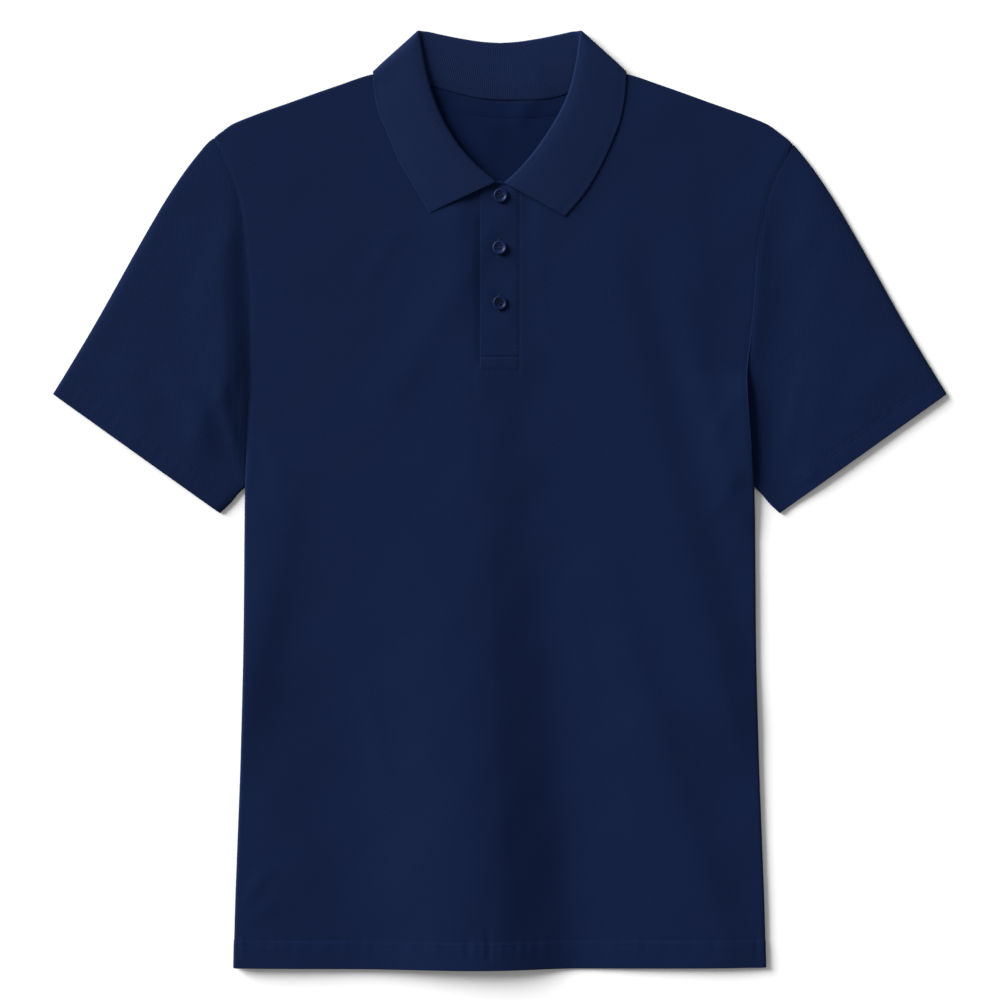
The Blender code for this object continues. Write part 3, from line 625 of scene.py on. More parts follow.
def sleeveTube(name, side, node, material):
    # Ring by ring from the armhole to the cuff: over the top layer, round the underarm, back along the
    # bottom layer and round the shoulder fold
    out = spread((0, 0.03, 5), (0.03, 0.85, 50), (0.85, 1, 22))
    across = spread((0, 0.03, 5), (0.03, 0.97, 62), (0.97, 1, 5))
    plan = sleevePlan(side, out, across)
    x, y = side * plan[..., 0], plan[..., 1]
    steps = np.linalg.norm(np.diff(plan, axis=0), axis=-1)
    fromRoot = np.concatenate([np.zeros((1, len(across))), np.cumsum(steps, axis=0)])
    toCuff = fromRoot[-1] - fromRoot

    # From each distance to the next the height runs along an even slope, softened at both ends
    share, *tables = columnsOf(sleeve["besideLeft" if side < 0 else "besideRight"])
    heights = [throughTable(across, share, values) for values in tables]
    edge = 1 - (2 * across - 1) ** sleeve["edgePower"]
    rise, distances = heights[0], sleeve["distances"]
    for near, far, start, end in zip(distances, distances[1:], heights, heights[1:]):
        rise = rise + (end - start) * slopes((fromRoot - near) / (far - near), sleeve["soft"])
    loose = creaseRise(x, y, sleeve["creases"]) + bentWaves(x, y, body["waves"])
    rise = rise + loose * ease(fromRoot / sleeve["looseFrom"])
    top = sleeve["edgeLevel"] + (rise - sleeve["edgeLevel"]) * edge
    aboveCuff = toCuff + hem["depth"] - sleeve["cuffDepth"]
    top = top + hemShape(aboveCuff, lengthAlong(plan[-1]), hem["cuffStep"], hem["cuffPull"]) * edge

    tucked = x.copy()
    tucked[0] -= side * (sleeve["clear"] + sleeve["tuck"]) * edge
    tucked[0] -= side * sleeve["tipTuck"] * bell(across * sleeve["turnShare"])
    upper, lower = stack(tucked, y, top), stack(x, y, sleeve["bottom"])
    rings = [upper]
    for at, inner, turn in ((-1, -4, 1), (0, 3, -1)):
        middle, radius = (upper[:, at] + lower[:, at]) / 2, (upper[:, at, 2] - lower[:, at, 2])[:, None] / 2
        flat = unit((upper[:, at] - upper[:, inner]) * [1, 1, 0])
        angles = np.radians([45, 90, 135])[::turn]
        arc = [middle + radius * (np.sin(a) * flat + np.cos(a) * np.array([0, 0, 1])) for a in angles]
        rings.append(np.stack(arc, axis=1))
        if at:
            rings.append(lower[:, ::-1])
    points = np.concatenate(rings, axis=1)

    # The cloth coordinates run on round the underarm and mirror over the shoulder fold
    axis = unit(plan[-1].mean(axis=0) - plan[0].mean(axis=0))
    middle = plan - plan[:1, :1]
    v, u = middle @ axis, middle @ np.array([-axis[1], axis[0]])
    uv = [np.concatenate([over, over[:, [-1] * 3], back[:, ::-1], over[:, [0] * 3], over[:, :1]], axis=1)
          for over, back in ((u, 2 * u[:, :1] - u), (v, v))]
    uv = stack(*uv) + [patternAt["sleeves"] + side * patternAt["sleeve"], 0]
    half = np.full(points.shape[:2], sleeve["cloth"] / 2)
    shell = clothShell(name, node, points, half, uv, material, around=True)
    # Where the two rows of stitches run on the top layer
    outside, fromCuff = (upper + [0, 0, sleeve["cloth"] / 2])[:, 4:-4], toCuff[:, 4:-4]
    return shell, [alongColumns(outside, fromCuff, sleeve["cuffDepth"] - twin) for twin in (0, hem["twin"])]


collar = {
    "rib": 1.4,
    "foldHigh": 0.9,         # the roll's half height and its depth across the collar
    "foldDeep": 3.0,
    "creaseBend": 1.4,       # both of them at the crease and under the back
    "foldColumn": 22,
    "lower": (0.3, 1.2),     # how much lower than the stations' heights the fold of each half lies
    "standCrown": 0.5,
    "standColumn": 4,
    "standReach": 45.0,      # the height of stand that has the whole crown
    "fallCrown": 0.7,
    "fallLean": 0.35,        # the share of the fall's crown that goes towards its outer edge
    "creaseOut": (0.65, 0.76),
    "step": 1.7,
    "turnStep": 0.25,        # how much a degree of turn counts as length when it is stepped
    # From the front end to the crease at the side of the neck: fold x y, outer edge x y
    "rightLeaf": [
        (4, 259.6, 53.5, 232.4), (14.1, 268.8, 62.5, 242.6), (25.9, 282, 71.5, 254),
        (39.1, 300, 81.6, 271), (51, 320.5, 92, 293), (58.1, 337.7, 99, 312),
        (63, 359, 103, 334), (65.2, 374, 103.6, 345.5), (66, 381.2, 103.8, 350.2),
        (65.6, 383.8, 103.6, 351.4),
    ],
    "leftLeaf": [
        (3.6, 260.4, 57.2, 235.2), (14.4, 269.2, 64, 246), (25.5, 280, 71, 257.6),
        (37, 294.5, 81.6, 275.8), (49, 315.5, 92, 300), (57, 337, 98.6, 315.2),
        (62.2, 358.2, 103, 334), (65, 374, 103.8, 345.5), (66, 381.2, 104, 350.2),
        (65.6, 383.8, 103.8, 351.4),
    ],
    # The same from the crease round to the middle of the back
    "back": [
        (64.3, 384, 102.6, 350.1), (60.5, 383.9, 98, 345.5), (50, 381.7, 80, 334.8),
        (38, 379.2, 60, 328), (25, 376.9, 40, 324.4), (12, 375.2, 20, 322.4),
        (0, 374.5, 0, 321.8),
    ],
    # For the same stations: seam x, lap over the panel, heights of fold and edge, and the turn of the
    # strip: 90 where the fall lies over the stand, 0 at the crease, -90 where it lies under it
    "stations": [
        (8, 1.2, 6.4, 5, 90), (19.5, 1.2, 6.7, 5.1, 90), (31, 1.2, 7, 5.4, 90),
        (45, 1.2, 7.3, 5.9, 90), (59, 1.2, 7.5, 6.1, 90), (69.5, 1.2, 7.4, 6.1, 90),
        (78, 1, 7.1, 6, 90), (84, 0.5, 6.6, 5.9, 80), (87, -0.6, 5.8, 5, 45),
        (87.6, -1, 4.7, 3, 0), (84, -1, 3.4, 1.1, -45), (76.5, -0.9, 2.5, 0.8, -80),
        (66, 1, 2.3, 0.75, -90), (50, 1.2, 2.2, 0.75, -90), (33, 1.2, 2.2, 0.75, -90),
        (16, 1.2, 2.2, 0.75, -90), (0, 1.2, 2.2, 0.75, -90),
    ],
    # Turns: it lies over the front from the first and on it from the second, and the fold is whole
    # from the third, beginning at half of that
    "turns": (-20, 85, 80),
    "overPanel": 0.85,       # how high the seam lies over the panel, and over the placket's half width
    "overPlacket": 2.0,
    "placketHalf": 22,
    "seamHalf": 0.3,         # half the thickness at the seam, and the width over which it thins to that
    "seamRun": 7.0,
    "edgeHalf": 0.5,         # half the thickness at the knitted outer edge, and its gap over the cloth
    "edgeGap": 0.12,
    "edgeRun": (2.5, 8.0),   # the plain edge, then the width over which the strip comes to its thickness
    "edgeLine": (0.08, 3.2, 0.7),       # a line beside the edge: depth, place, spread
    "standShows": (-17, 38, 330, 5),    # the stand's stitches: from x to x, past y, under this height
}


def collarHalf(side):
    # Seam, fold and outer edge at each station, then a smooth strip through them: the stand rises
    # from the seam, bends round the fold and the fall comes down over it, or passes under it
    leaf = collar["rightLeaf" if side > 0 else "leftLeaf"]
    foldX, foldY, edgeX, edgeY = columnsOf(leaf + collar["back"])
    seamX, lap, foldZ, edgeZ, turn = columnsOf(collar["stations"])
    fromFront, onIt, whole = collar["turns"]
    foldZ = foldZ - collar["lower"][0 if side < 0 else 1] * ease(turn / whole)
    onFront = turn > fromFront
    seam = stack(side * seamX, np.where(onFront, frontNeck(seamX), backNeck(side * seamX)))
    fold, edge = stack(side * foldX, foldY), stack(side * edgeX, edgeY)
    seam = seam - lap[:, None] * unit(fold - seam)
    panel = np.where(onFront, frontHeight(*seam.T), backHeight(*seam.T))
    onPlacket = onFront & (seamX < collar["placketHalf"])
    seamZ = panel + np.where(onPlacket, collar["overPlacket"], collar["overPanel"])
    # The outer edge lies on the front
    onPanel = frontHeight(*edge.T) + body["cloth"] / 2 + collar["edgeHalf"] + collar["edgeGap"]
    edgeZ = np.where(turn > onIt, onPanel, edgeZ)
    stations = np.column_stack([seam, seamZ, fold, foldZ, edge, edgeZ, turn])

    coarse = np.linspace(0, len(stations) - 1, 1600)
    path = throughPoints(stations, coarse)
    turned = collar["turnStep"] * lengthAlong(path[:, 9:10])
    length = lengthAlong((path[:, 3:5] + path[:, 6:8]) / 2) + turned
    at = np.interp(np.linspace(0, length[-1], int(length[-1] / collar["step"])), length, coarse)
    fine = throughPoints(stations, at)
    for _ in range(3):
        fine[1:-1] = (fine[:-2] + 2 * fine[1:-1] + fine[2:]) / 4
    seam, fold, edge, turn = fine[:, :3], fine[:, 3:6], fine[:, 6:9], np.radians(fine[:, 9])

    upStand, toEdge = unit((fold - seam) * [1, 1, 0]), unit((edge - fold) * [1, 1, 0])
    into = unit(toEdge - upStand)
    away = np.array([side * collar["creaseOut"][0], collar["creaseOut"][1], 0])
    apart = np.cos(turn)[:, None] * away + np.sin(turn)[:, None] * np.array([0, 0, 1])
    onTop = ease(2 * np.degrees(turn) / whole - 1)[:, None]
    least = collar["creaseBend"]
    high, deep = (least + (collar[most] - least) * onTop for most in ("foldHigh", "foldDeep"))
    arc = np.radians(np.linspace(-90, 90, 13))[None, :, None]
    bend = (fold + deep * into)[:, None] + np.sin(arc) * (high * apart)[:, None]
    bend = bend - np.cos(arc) * (deep * into)[:, None]

    share = spread((0, 1, 16))[None, :-1, None]
    stand = seam[:, None] + share * (bend[:, :1] - seam[:, None])
    reach = np.linalg.norm(seam - fold, axis=1)[:, None, None] / collar["standReach"]
    stand = stand + collar["standCrown"] * reach * np.sin(np.pi * share) * [0, 0, 1]
    share = spread((0, 1, 26))[None, 1:, None]
    fall = bend[:, -1:] + share * (edge[:, None] - bend[:, -1:])
    crown = collar["fallCrown"] * np.sin(np.pi * share ** 0.6) * (1 - collar["fallLean"] * share)
    fall = fall + crown * onTop[:, None] * [0, 0, 1]
    return np.concatenate([stand, bend, fall], axis=1)


def collarStrip(material):
    # One knitted strip round the neck, from the left front end to the right one
    left, right = collarHalf(-1), collarHalf(1)
    middle = np.concatenate([left, right[-2::-1]])
    along = lengthAlong(middle[:, collar["foldColumn"]])
    across = lengthAlong(np.swapaxes(middle, 0, 1)[:, len(middle) // 4])
    uv = stack(along[:, None], across)
    # From half the rib's thickness it thins to the outer edge and to the seam
    fromEdge, whole = across[-1] - across, collar["rib"] / 2
    plain, run = collar["edgeRun"]
    deep, place, wide = collar["edgeLine"]
    half = collar["edgeHalf"] + (whole - collar["edgeHalf"]) * ease((fromEdge - plain) / run)
    half = half - deep * bell((fromEdge - place) / wide)
    half = half - (whole - collar["seamHalf"]) * ease(1 - across / collar["seamRun"])
    half = np.tile(half, (len(along), 1))
    shell = clothShell("ribCollar", "collar", middle, half, uv, material, "rib")
    # The line of stitches that shows on the stand inside the back neck
    line = middle[:, collar["standColumn"]] + [0, 0, whole]
    x, y, z = line.T
    low, high, past, under = collar["standShows"]
    return shell, line[(y > past) & (x > low) & (x < high) & (z < under)]


tape = {
    "half": 64.0,
    "width": 13.4,
    "belowSeam": 2.0,
    "cloth": 0.2,
    "least": 0.1,
    "thinRun": 5.0,
    "swell": (0.08, 3.0),    # rise, and how far below the upper edge it is whole
    "stitchInset": 1.5,
    "stitchSpread": 0.8,
    "stitchEnd": 3.0,
}


def tapeThickness(x, y):
    # Distance below the tape's upper edge, and the share of the thickness that is left there
    down = backNeck(x) - tape["belowSeam"] - y
    return down, ease((tape["width"] - down) / tape["thinRun"])


def tapeHeight(x, y):
    # Outer face of the tape: it swells a little below the stitches and thins out to its lower edge
    down, thin = tapeThickness(x, y)
    rise, run = tape["swell"]
    swell = rise * (ease(down / run) - bell((down - tape["stitchInset"]) / tape["stitchSpread"]))
    return backHeight(x, y) + body["cloth"] / 2 + tape["least"] + (tape["cloth"] + swell) * thin


def neckTape(material):
    # Narrow band on the inside of the back, following the neck seam
    x, down = np.meshgrid(np.linspace(-tape["half"], tape["half"], 86), np.linspace(tape["width"], 0, 14))
    y = backNeck(x) - tape["belowSeam"] - down
    half = (tape["least"] + tape["cloth"] * tapeThickness(x, y)[1]) / 2
    z = tapeHeight(x, y) - half
    uv = stack(x + patternAt["tape"], -down)
    return clothShell("neckTape", "neck_tape", stack(x, y, z), half, uv, material)


placket = {
    "left": -16.2,
    "right": 16.6,
    "end": 105.6,
    "boxHeight": 11.6,
    "half": 0.4,
    "over": 0.5,             # its underside over the panel's middle
    "thin": (0.8, 3.0),      # share of the thickness at the sewn edge and the end, and over what width
    "stitchInset": 1.6,
    "stitchTop": 262.0,
    "stitchGap": 2.0,        # the stitches end at least this far below the neckline
    "line": (0.1, 0.7),      # depth and spread of the groove along the stitches, and its depth at the box
    "boxLine": 0.5,
    "edge": (0.12, 2.0),     # how much lower it lies at both of those edges, and over what width
    "looseFrom": 6.0,
    "pull": (0.35, 6.0, 1.4),    # round a button: depth, spread, and how much taller than wide
    "swell": (0.18, 12.0, 5.0),  # and between them: rise, how far from the button, spread
    "tab": 6.4,              # how far it reaches up between the collar's ends
    "tabWidth": 7.0,
    "below": 0.5,            # the top band ends this far below the neckline
    # The under band: how far inside the cut, above its end and below the neckline it lies
    "under": {"inset": 0.3, "lap": 0.9, "below": 1.0, "drop": 0.1, "half": 0.45},
    "creases": [(-9.0, 252.0, 11.0, 254.0, 1.5, -1.2, -5.0)],
    "buttons": [(0.6, 249.4), (-0.2, 206.8), (0.1, 161.4)],
}


def placketPull(x, y):
    # The band is drawn in by a bell round each button and swells by a ring between them
    depth, spreadIn, taller = placket["pull"]
    rise, far, spreadOut = placket["swell"]
    pull = np.zeros(np.shape(x))
    for buttonX, buttonY in placket["buttons"]:
        away = np.hypot(x - buttonX, (y - buttonY) / taller)
        pull += rise * bell((away - far) / spreadOut) - depth * bell(away / spreadIn)
    return pull


def fromEdges(x, y):
    # Distances from the top band's sewn edge and from its end
    return (placket["right"] - x).clip(0), (y - placket["end"]).clip(0)


def placketHalf(x, y):
    # Half the top band's thickness: thinner where it is turned in and sewn down, at its right and its end
    least, run = placket["thin"]
    near, box = (least + (1 - least) * ease(away / run) for away in fromEdges(x, y))
    return placket["half"] * near * box


def placketHeight(x, y):
    # Middle of the top band: it lies on the panel and is stitched down at its right edge and its box
    near, box = fromEdges(x, y)
    (depth, wide), (dip, run) = placket["line"], placket["edge"]
    lines = depth * sum(bell((away - placket["stitchInset"]) / wide) for away in (near, box))
    lines = lines + placket["boxLine"] * bell((box - placket["boxHeight"]) / wide)
    edges = dip * (bell(near / run) + bell(box / run))
    loose = placketPull(x, y) * ease(near / placket["looseFrom"]) + creaseRise(x, y, placket["creases"])
    return frontHeight(x, y) + placket["over"] + placketHalf(x, y) + loose - lines - edges


def placketFace(x, y):
    return placketHeight(x, y) + placketHalf(x, y)


def placketBands(material):
    # Two bands on the front opening: the under one in the panel's cut and the top one over both
    under = placket["under"]
    half, start = placketCut["half"] - under["inset"], placketCut["end"] + under["lap"]
    x, up = np.meshgrid(np.linspace(-half, half, 12), np.linspace(0, 1, 50))
    y = start + up * (frontNeck(x) - under["below"] - start)
    points, half = stack(x, y, frontHeight(x, y) - under["drop"]), np.full(x.shape, under["half"])
    uv = stack(x + patternAt["under"], y)
    lower = clothShell("placketUnder", "placket_under", points, half, uv, material)

    share, up = np.meshgrid(spread((0, 0.06, 3), (0.06, 0.9, 24), (0.9, 1, 6)),
                            spread((0, 0.1, 20), (0.1, 0.92, 100), (0.92, 1, 20)))
    x = placket["left"] + share * (placket["right"] - placket["left"])
    top = frontNeck(x) - placket["below"] + placket["tab"] * bell(x / placket["tabWidth"])
    y = placket["end"] + up * (top - placket["end"])
    points, uv = stack(x, y, placketHeight(x, y)), stack(x + patternAt["top"], y)
    return lower, clothShell("placketTop", "placket_top", points, placketHalf(x, y), uv, material)


button = {
    "radius": 5.75,
    "hole": {"radius": 0.72, "pitch": 1.5, "deep": 1.15, "mouth": 1.12, "slope": 0.3, "rows": 3.5},
    "lift": 0.2,             # the thread shank holds it this far off the band
    "thread": 0.19,
    "strands": (0.2, 0.5),   # half the gap between the two, and how far they sink at their ends
    "threadHigh": 1.45,      # the strands over it, then how far under them the shank is, and how thick
    "shankLow": 1.35,
    "shank": 0.5,
    # Turned outline: share of the radius and height
    "profile": [
        (0, 1.45), (0.28, 1.42), (0.5, 1.5), (0.64, 1.85), (0.72, 2.3), (0.8, 2.5), (0.9, 2.46),
        (0.965, 2.2), (1, 1.75), (1, 1.1), (0.955, 0.55), (0.86, 0.18), (0.7, 0), (0.35, 0),
        (0, 0),
    ],
    # How each is turned, and its slopes along x and y
    "turns": (0.3, 0.12, -0.5),
    "tilts": ((0.0, 0.02), (0.07, -0.05), (-0.09, 0.07)),
}


def buttonHoles(turn):
    # Round the middle, a quarter turn apart
    angle = turn + np.pi * (np.arange(4) / 2 + 0.25)
    return button["hole"]["pitch"] * stack(np.cos(angle), np.sin(angle))


def roundButton(name, node, x, y, turn, tilt, material):
    # A profile turned about its axis, with four dimples deep enough to read as sewing holes, and tilted
    profile, hole = np.array(button["profile"]), button["hole"]
    at = spread((0, 3, 26), (3, 9, 24), (9, len(profile) - 1, 12))
    radius, height = throughPoints(profile, at).T
    angle = np.linspace(0, 2 * np.pi, 97)[:-1]
    outward = button["radius"] * radius[:, None]
    flatX, flatY = outward * np.cos(angle), outward * np.sin(angle)
    z = np.repeat(height[:, None], len(angle), axis=1)
    for holeX, holeY in buttonHoles(turn):
        away = np.hypot(flatX - holeX, flatY - holeY) / hole["radius"]
        dimple = hole["deep"] * ease((hole["mouth"] - away) / hole["slope"])
        z = z - np.where(at[:, None] < hole["rows"], dimple, 0)
    seat = placketHeight(np.array([x]), np.array([y]))[0] + placket["half"] + button["lift"]
    rings = stack(x + flatX, y + flatY, z + seat + tilt[0] * flatX + tilt[1] * flatY)
    inner = rings[1:-1].reshape(-1, 3)
    vertices = np.concatenate([inner, rings[0, :1], rings[-1, :1]])
    number = np.arange(len(inner)).reshape(-1, len(angle))
    # Each pole is a fan of triangles
    faces = [ringTriangles(number)]
    for pole, way in ((0, 1), (-1, -1)):
        ring, middle = closed(number[[pole]])[0], np.full(len(angle), len(inner) - pole)
        faces.append(np.column_stack([middle, *(ring[:-1], ring[1:])[::way]]))
    asPiece(makeObject(name, vertices, np.concatenate(faces), material), "button", node)
    return seat


stitch = {"pitch": 2.8, "length": 2.1, "radius": 0.17, "sink": 0.1, "lift": 0.02, "hemEnd": 0.985}


def bars(starts, ends, radius, sink=0.1):
    # One small thread bar from each start to its end: five hexagonal rings, thin and sunk at both ends
    share = np.array([0, 0.2, 0.5, 0.8, 1])
    girth = radius * np.array([0.35, 0.85, 1, 0.85, 0.35])
    points = starts[:, None] + share[:, None] * (ends - starts)[:, None]
    points[..., 2] -= sink * (2 * share - 1) ** 2
    aside = unit(np.cross([0, 0, 1.0], ends - starts))[:, None, None]
    angle = np.linspace(0, 2 * np.pi, 7)[:-1][:, None]
    ring = np.cos(angle) * aside + np.sin(angle) * np.array([0, 0, 1.0])
    vertices = points[:, :, None] + girth[:, None, None] * ring
    fan = np.stack([np.zeros(4, int), np.arange(1, 5), np.arange(2, 6)], axis=-1)
    one = np.concatenate([ringTriangles(np.arange(30).reshape(5, 6)), fan, fan[:, ::-1] + 24])
    faces = one[None] + 30 * np.arange(len(starts))[:, None, None]
    return vertices.reshape(-1, 3), faces.reshape(-1, 3)


def stitchRow(path):
    # Bars of one length at an even pitch along a path on the cloth
    run = lengthAlong(path)[-1]
    count = int(run / stitch["pitch"])
    centre = (np.arange(count) + 0.5) / count
    starts, ends = (pointsAlong(path, centre + way * stitch["length"] / 2 / run) for way in (-1, 1))
    return bars(starts, ends, stitch["radius"], stitch["sink"])


def threadObject(name, slotName, parts, material):
    # One object of several sets of bars
    points, triangles = zip(*parts)
    offsets = np.cumsum([0] + [len(some) for some in points])
    faces = [some + offset for some, offset in zip(triangles, offsets)]
    return asPiece(makeObject(name, np.concatenate(points), np.concatenate(faces), material), slotName)


def sewAlong(name, lines, face, material):
    # Rows of stitches on a face, along lines given by their x and y
    rows = [stitchRow(stack(x, y, face(x, y) + stitch["lift"])) for x, y in lines]
    return threadObject(name, "pique", rows, material)


def bodyStitches(material):
    # Two rows along the bottom hem
    x = np.linspace(-stitch["hemEnd"], stitch["hemEnd"], 900) * halfWidth(body["hemY"], 1)
    rows = [(x, hemY(x) + hem["depth"] - twin) for twin in (0, hem["twin"])]
    return sewAlong("hemStitches", rows, frontFace, material)


def placketStitches(material):
    # Down the sewn edge of the band, and round the box at its end
    inset = placket["stitchInset"]
    left, right = placket["left"] + inset, placket["right"] - inset
    low, high = placket["end"] + inset, placket["end"] + placket["boxHeight"]
    ends = [
        ((right, low), (right, placket["stitchTop"])), ((left, low), (right, low)),
        ((left, high), (right, high)), ((left, low), (left, high)),
    ]
    lines = [np.linspace(start, end, 200) for start, end in ends]
    lines = [line[line[:, 1] < frontNeck(line[:, 0]) - placket["stitchGap"]].T for line in lines]
    return sewAlong("placketStitches", lines, placketFace, material)


def tapeStitches(material):
    # One row along the upper edge of the tape
    end = tape["half"] - tape["stitchEnd"]
    x = np.linspace(-end, end, 300)
    line = (x, backNeck(x) - tape["belowSeam"] - tape["stitchInset"])
    return sewAlong("tapeStitches", [line], tapeHeight, material)


buttonhole = {
    "length": 13.6,
    "wide": 1.15,
    "slit": 0.35,
    "pitch": 0.42,
    "tacks": (-0.3, 0.0, 0.3),   # the bars that close an end: where, and how much longer they are
    "tackOver": 0.15,
    "lift": 0.1,
    "radius": 0.24,
    "sink": 0.12,
}


def buttonholeThreads(name, x, y, flat, material):
    # Dense bars across both lips of the slit, and longer bars that close each end
    end, slit = buttonhole["length"] / 2, buttonhole["slit"] / 2
    along = np.arange(-end, end + 0.01, buttonhole["pitch"])
    starts = [stack(along, lip * slit) for lip in (-1, 1)]
    ends = [start + [0, lip * buttonhole["wide"]] for start, lip in zip(starts, (-1, 1))]
    reach = slit + buttonhole["wide"] + buttonhole["tackOver"]
    for tack in buttonhole["tacks"]:
        starts.append([[end + tack, -reach], [-end - tack, -reach]])
        ends.append([[end + tack, reach], [-end - tack, reach]])
    raised = []
    for flatPoints in (np.concatenate(starts), np.concatenate(ends)):
        across, up = (flatPoints if flat else flatPoints[:, ::-1] * [-1, 1]).T
        px, py = across + x, up + y
        raised.append(stack(px, py, placketFace(px, py) + buttonhole["lift"]))
    return threadObject(name, "pique", [bars(*raised, buttonhole["radius"], buttonhole["sink"])], material)


def buttonThreads(name, x, y, seat, turn, material):
    # Two strands over the button, from hole to hole, and the shank between the button and the bands
    holes = stack(*(buttonHoles(turn) + [x, y]).T, seat + button["threadHigh"])
    apart, sink = button["strands"]
    aside = apart * np.array([np.cos(turn), np.sin(turn), 0])
    starts, ends = holes[[0, 1]], holes[[3, 2]]
    parts = [bars(starts + off, ends + off, button["thread"], sink) for off in (-aside, aside)]
    spots = holes - [0, 0, button["shankLow"]]
    parts.append(bars(spots[[0, 1]], spots[[2, 3]], button["shank"], 0.0))
    return threadObject(name, "button", parts, material)


# Materials. The cloth coordinates are in millimetres, and so are the pattern sizes.

pique = {
    "color": (0.00326, 0.0090, 0.0367),
    "cell": (2.3, 2.7),
    "loop": (0.575, 0.675),
    "round": 0.7,            # the power that makes the raised part broad
    "loops": 0.16,
    "fuzz": 0.35,
    "pitPaintedShade": 0.72,             # how dark the painted shade in the pits is, and how light the painted light on the raised part
    "high": 1.14,
    "relief": 0.00009,
    "sheen": 0.055,
    "specular": 0.06,
    "roughness": (0.82, 0.95),
}
# The knit's reverse: its darker colour is partly the reverse's own and partly painted shade of the shadowed
# inside
reverseSideWithPaintedShade = {
    "color": (0.0026, 0.0073, 0.0315),
    "loop": (1.15, 0.9),
    # Painted shade in the pits and painted light on the raised loops
    "pitPaintedShade": 0.9,
    "high": 1.08,
    "relief": 0.00006,
    "sheen": 0.04,
    "specular": 0.04,
    "roughness": (0.88, 0.97),
}
rib = {
    "color": (0.0044, 0.0106, 0.0400),
    "pitch": 1.35,
    "course": 1.0,
    "lean": 0.35,            # how far the stitches rise towards the middle of a rib
    "round": 0.6,
    "loops": 0.14,
    "fuzz": 0.3,
    # Painted shade between the ribs and painted light on them
    "pitPaintedShade": 0.84,
    "high": 1.12,
    "relief": 0.00009,
    "sheen": 0.06,
    "specular": 0.06,
    "roughness": (0.8, 0.92),
}
gloss = {"color": (0.0036, 0.0108, 0.0440), "specular": 0.13, "roughness": (0.34, 0.42), "relief": 0.00002}
thread = {"color": (0.0045, 0.0100, 0.0380), "specular": 0.15, "roughness": (0.5, 0.6), "relief": 0.00005}
sheen = {"Sheen Roughness": 0.45, "Sheen Tint": (0.35, 0.5, 1.0, 1)}


class NodeSheet:
    # A material's node tree with a short way to add nodes and to join them
    def __init__(self, name):
        self.material = bpy.data.materials.new(name)
        self.material.use_nodes = True
        self.tree = self.material.node_tree
        self.surface = self.tree.nodes["Principled BSDF"].inputs
        self.column = 0

    def add(self, kind, inputs=(), **settings):
        # Each input is a socket to join or a constant, and each setting a property or an input's constant
        node = self.tree.nodes.new(kind)
        self.column += 1
        node.location = (-180 * (self.column % 8) - 200, -220 * (self.column // 8))
        for key, value in settings.items():
            if hasattr(node, key):
                setattr(node, key, value)
            else:
                node.inputs[key].default_value = value
        for place, value in enumerate(inputs):
            self.put(value, node.inputs[place])
        return node

    def put(self, value, target):
        if isinstance(value, bpy.types.NodeSocket):
            self.tree.links.new(value, target)
        else:
            target.default_value = value

    def math(self, operation, *values):
        return self.add("ShaderNodeMath", values, operation=operation).outputs[0]

    def wave(self, operation, value, period):
        return self.math(operation, self.math("MULTIPLY", value, 2 * np.pi / period))

    def clothCoordinates(self):
        where = self.add("ShaderNodeUVMap", uv_map="cloth").outputs["UV"]
        parts = self.add("ShaderNodeSeparateXYZ", [where]).outputs
        return parts["X"], parts["Y"]

    def objectCoordinates(self):
        return self.add("ShaderNodeTexCoord").outputs["Object"]

    def noise(self, size, detail=2.0):
        # Noise with lumps of about this size in metres
        where = self.objectCoordinates()
        return self.add("ShaderNodeTexNoise", [where], Scale=1 / size, Detail=detail).outputs["Fac"]

    def between(self, factor, low, high):
        return self.add("ShaderNodeMapRange", [factor], **{"To Min": low, "To Max": high}).outputs[0]

    def grey(self, shade):
        return self.add("ShaderNodeCombineColor", [shade] * 3).outputs[0]

    def finish(self, values, shade, height):
        # Base colour times the shade, roughness by a fine noise, and the height as a bump
        tint = self.add("ShaderNodeMix", data_type="RGBA", blend_type="MULTIPLY", Factor=1.0)
        self.put((*values["color"], 1), tint.inputs["A"])
        self.put(self.grey(shade), tint.inputs["B"])
        bump = self.add("ShaderNodeBump", Strength=1.0, Distance=values["relief"])
        self.put(height, bump.inputs["Height"])
        sockets = {
            "Base Color": tint.outputs["Result"],
            "Roughness": self.between(self.noise(0.0009), *values["roughness"]),
            "Specular IOR Level": values["specular"],
            "Sheen Weight": values.get("sheen", 0.0),
            "Normal": bump.outputs["Normal"],
            **sheen,
        }
        for socket, value in sockets.items():
            self.put(value, self.surface[socket])
        return self.material

    def finishCloth(self, values, shade, height):
        # The same, with painted shade in the pits and painted light on the raised part, times yarn-sized
        # mottling and slow uneven dye around 1
        fine = self.between(self.noise(0.0011, 1.0), 0.86, 1.14)
        slow = self.between(self.noise(0.045, 3.0), 0.93, 1.07)
        mottle = self.math("MULTIPLY", fine, slow)
        shade = self.between(shade, values["pitPaintedShade"], values["high"])
        return self.finish(values, self.math("MULTIPLY", shade, mottle), height)


def loopWaves(sheet, u, v, loop):
    # Legs across the cloth times courses along it
    wide, tall = loop
    return sheet.math("MULTIPLY", sheet.wave("SINE", u, wide), sheet.wave("SINE", v, tall))


def piqueMaterial():
    # Staggered dimples: the product of two cosines across and along the cloth, with a finer ripple of
    # the loops' legs on the raised part
    sheet = NodeSheet("navyPique")
    u, v = sheet.clothCoordinates()
    wide, tall = pique["cell"]
    cells = sheet.math("MULTIPLY", sheet.wave("COSINE", u, wide), sheet.wave("COSINE", v, tall))
    height = sheet.math("POWER", sheet.math("MULTIPLY_ADD", cells, 0.5, 0.5), pique["round"])
    loops = sheet.math("MULTIPLY", loopWaves(sheet, u, v, pique["loop"]), height)
    relief = sheet.math("MULTIPLY_ADD", loops, pique["loops"], height)
    fuzz = sheet.math("MULTIPLY_ADD", sheet.noise(0.0005), pique["fuzz"], relief)
    # The dimples' height is also painted as shade, darker in the pits
    return sheet.finishCloth(pique, height, fuzz)


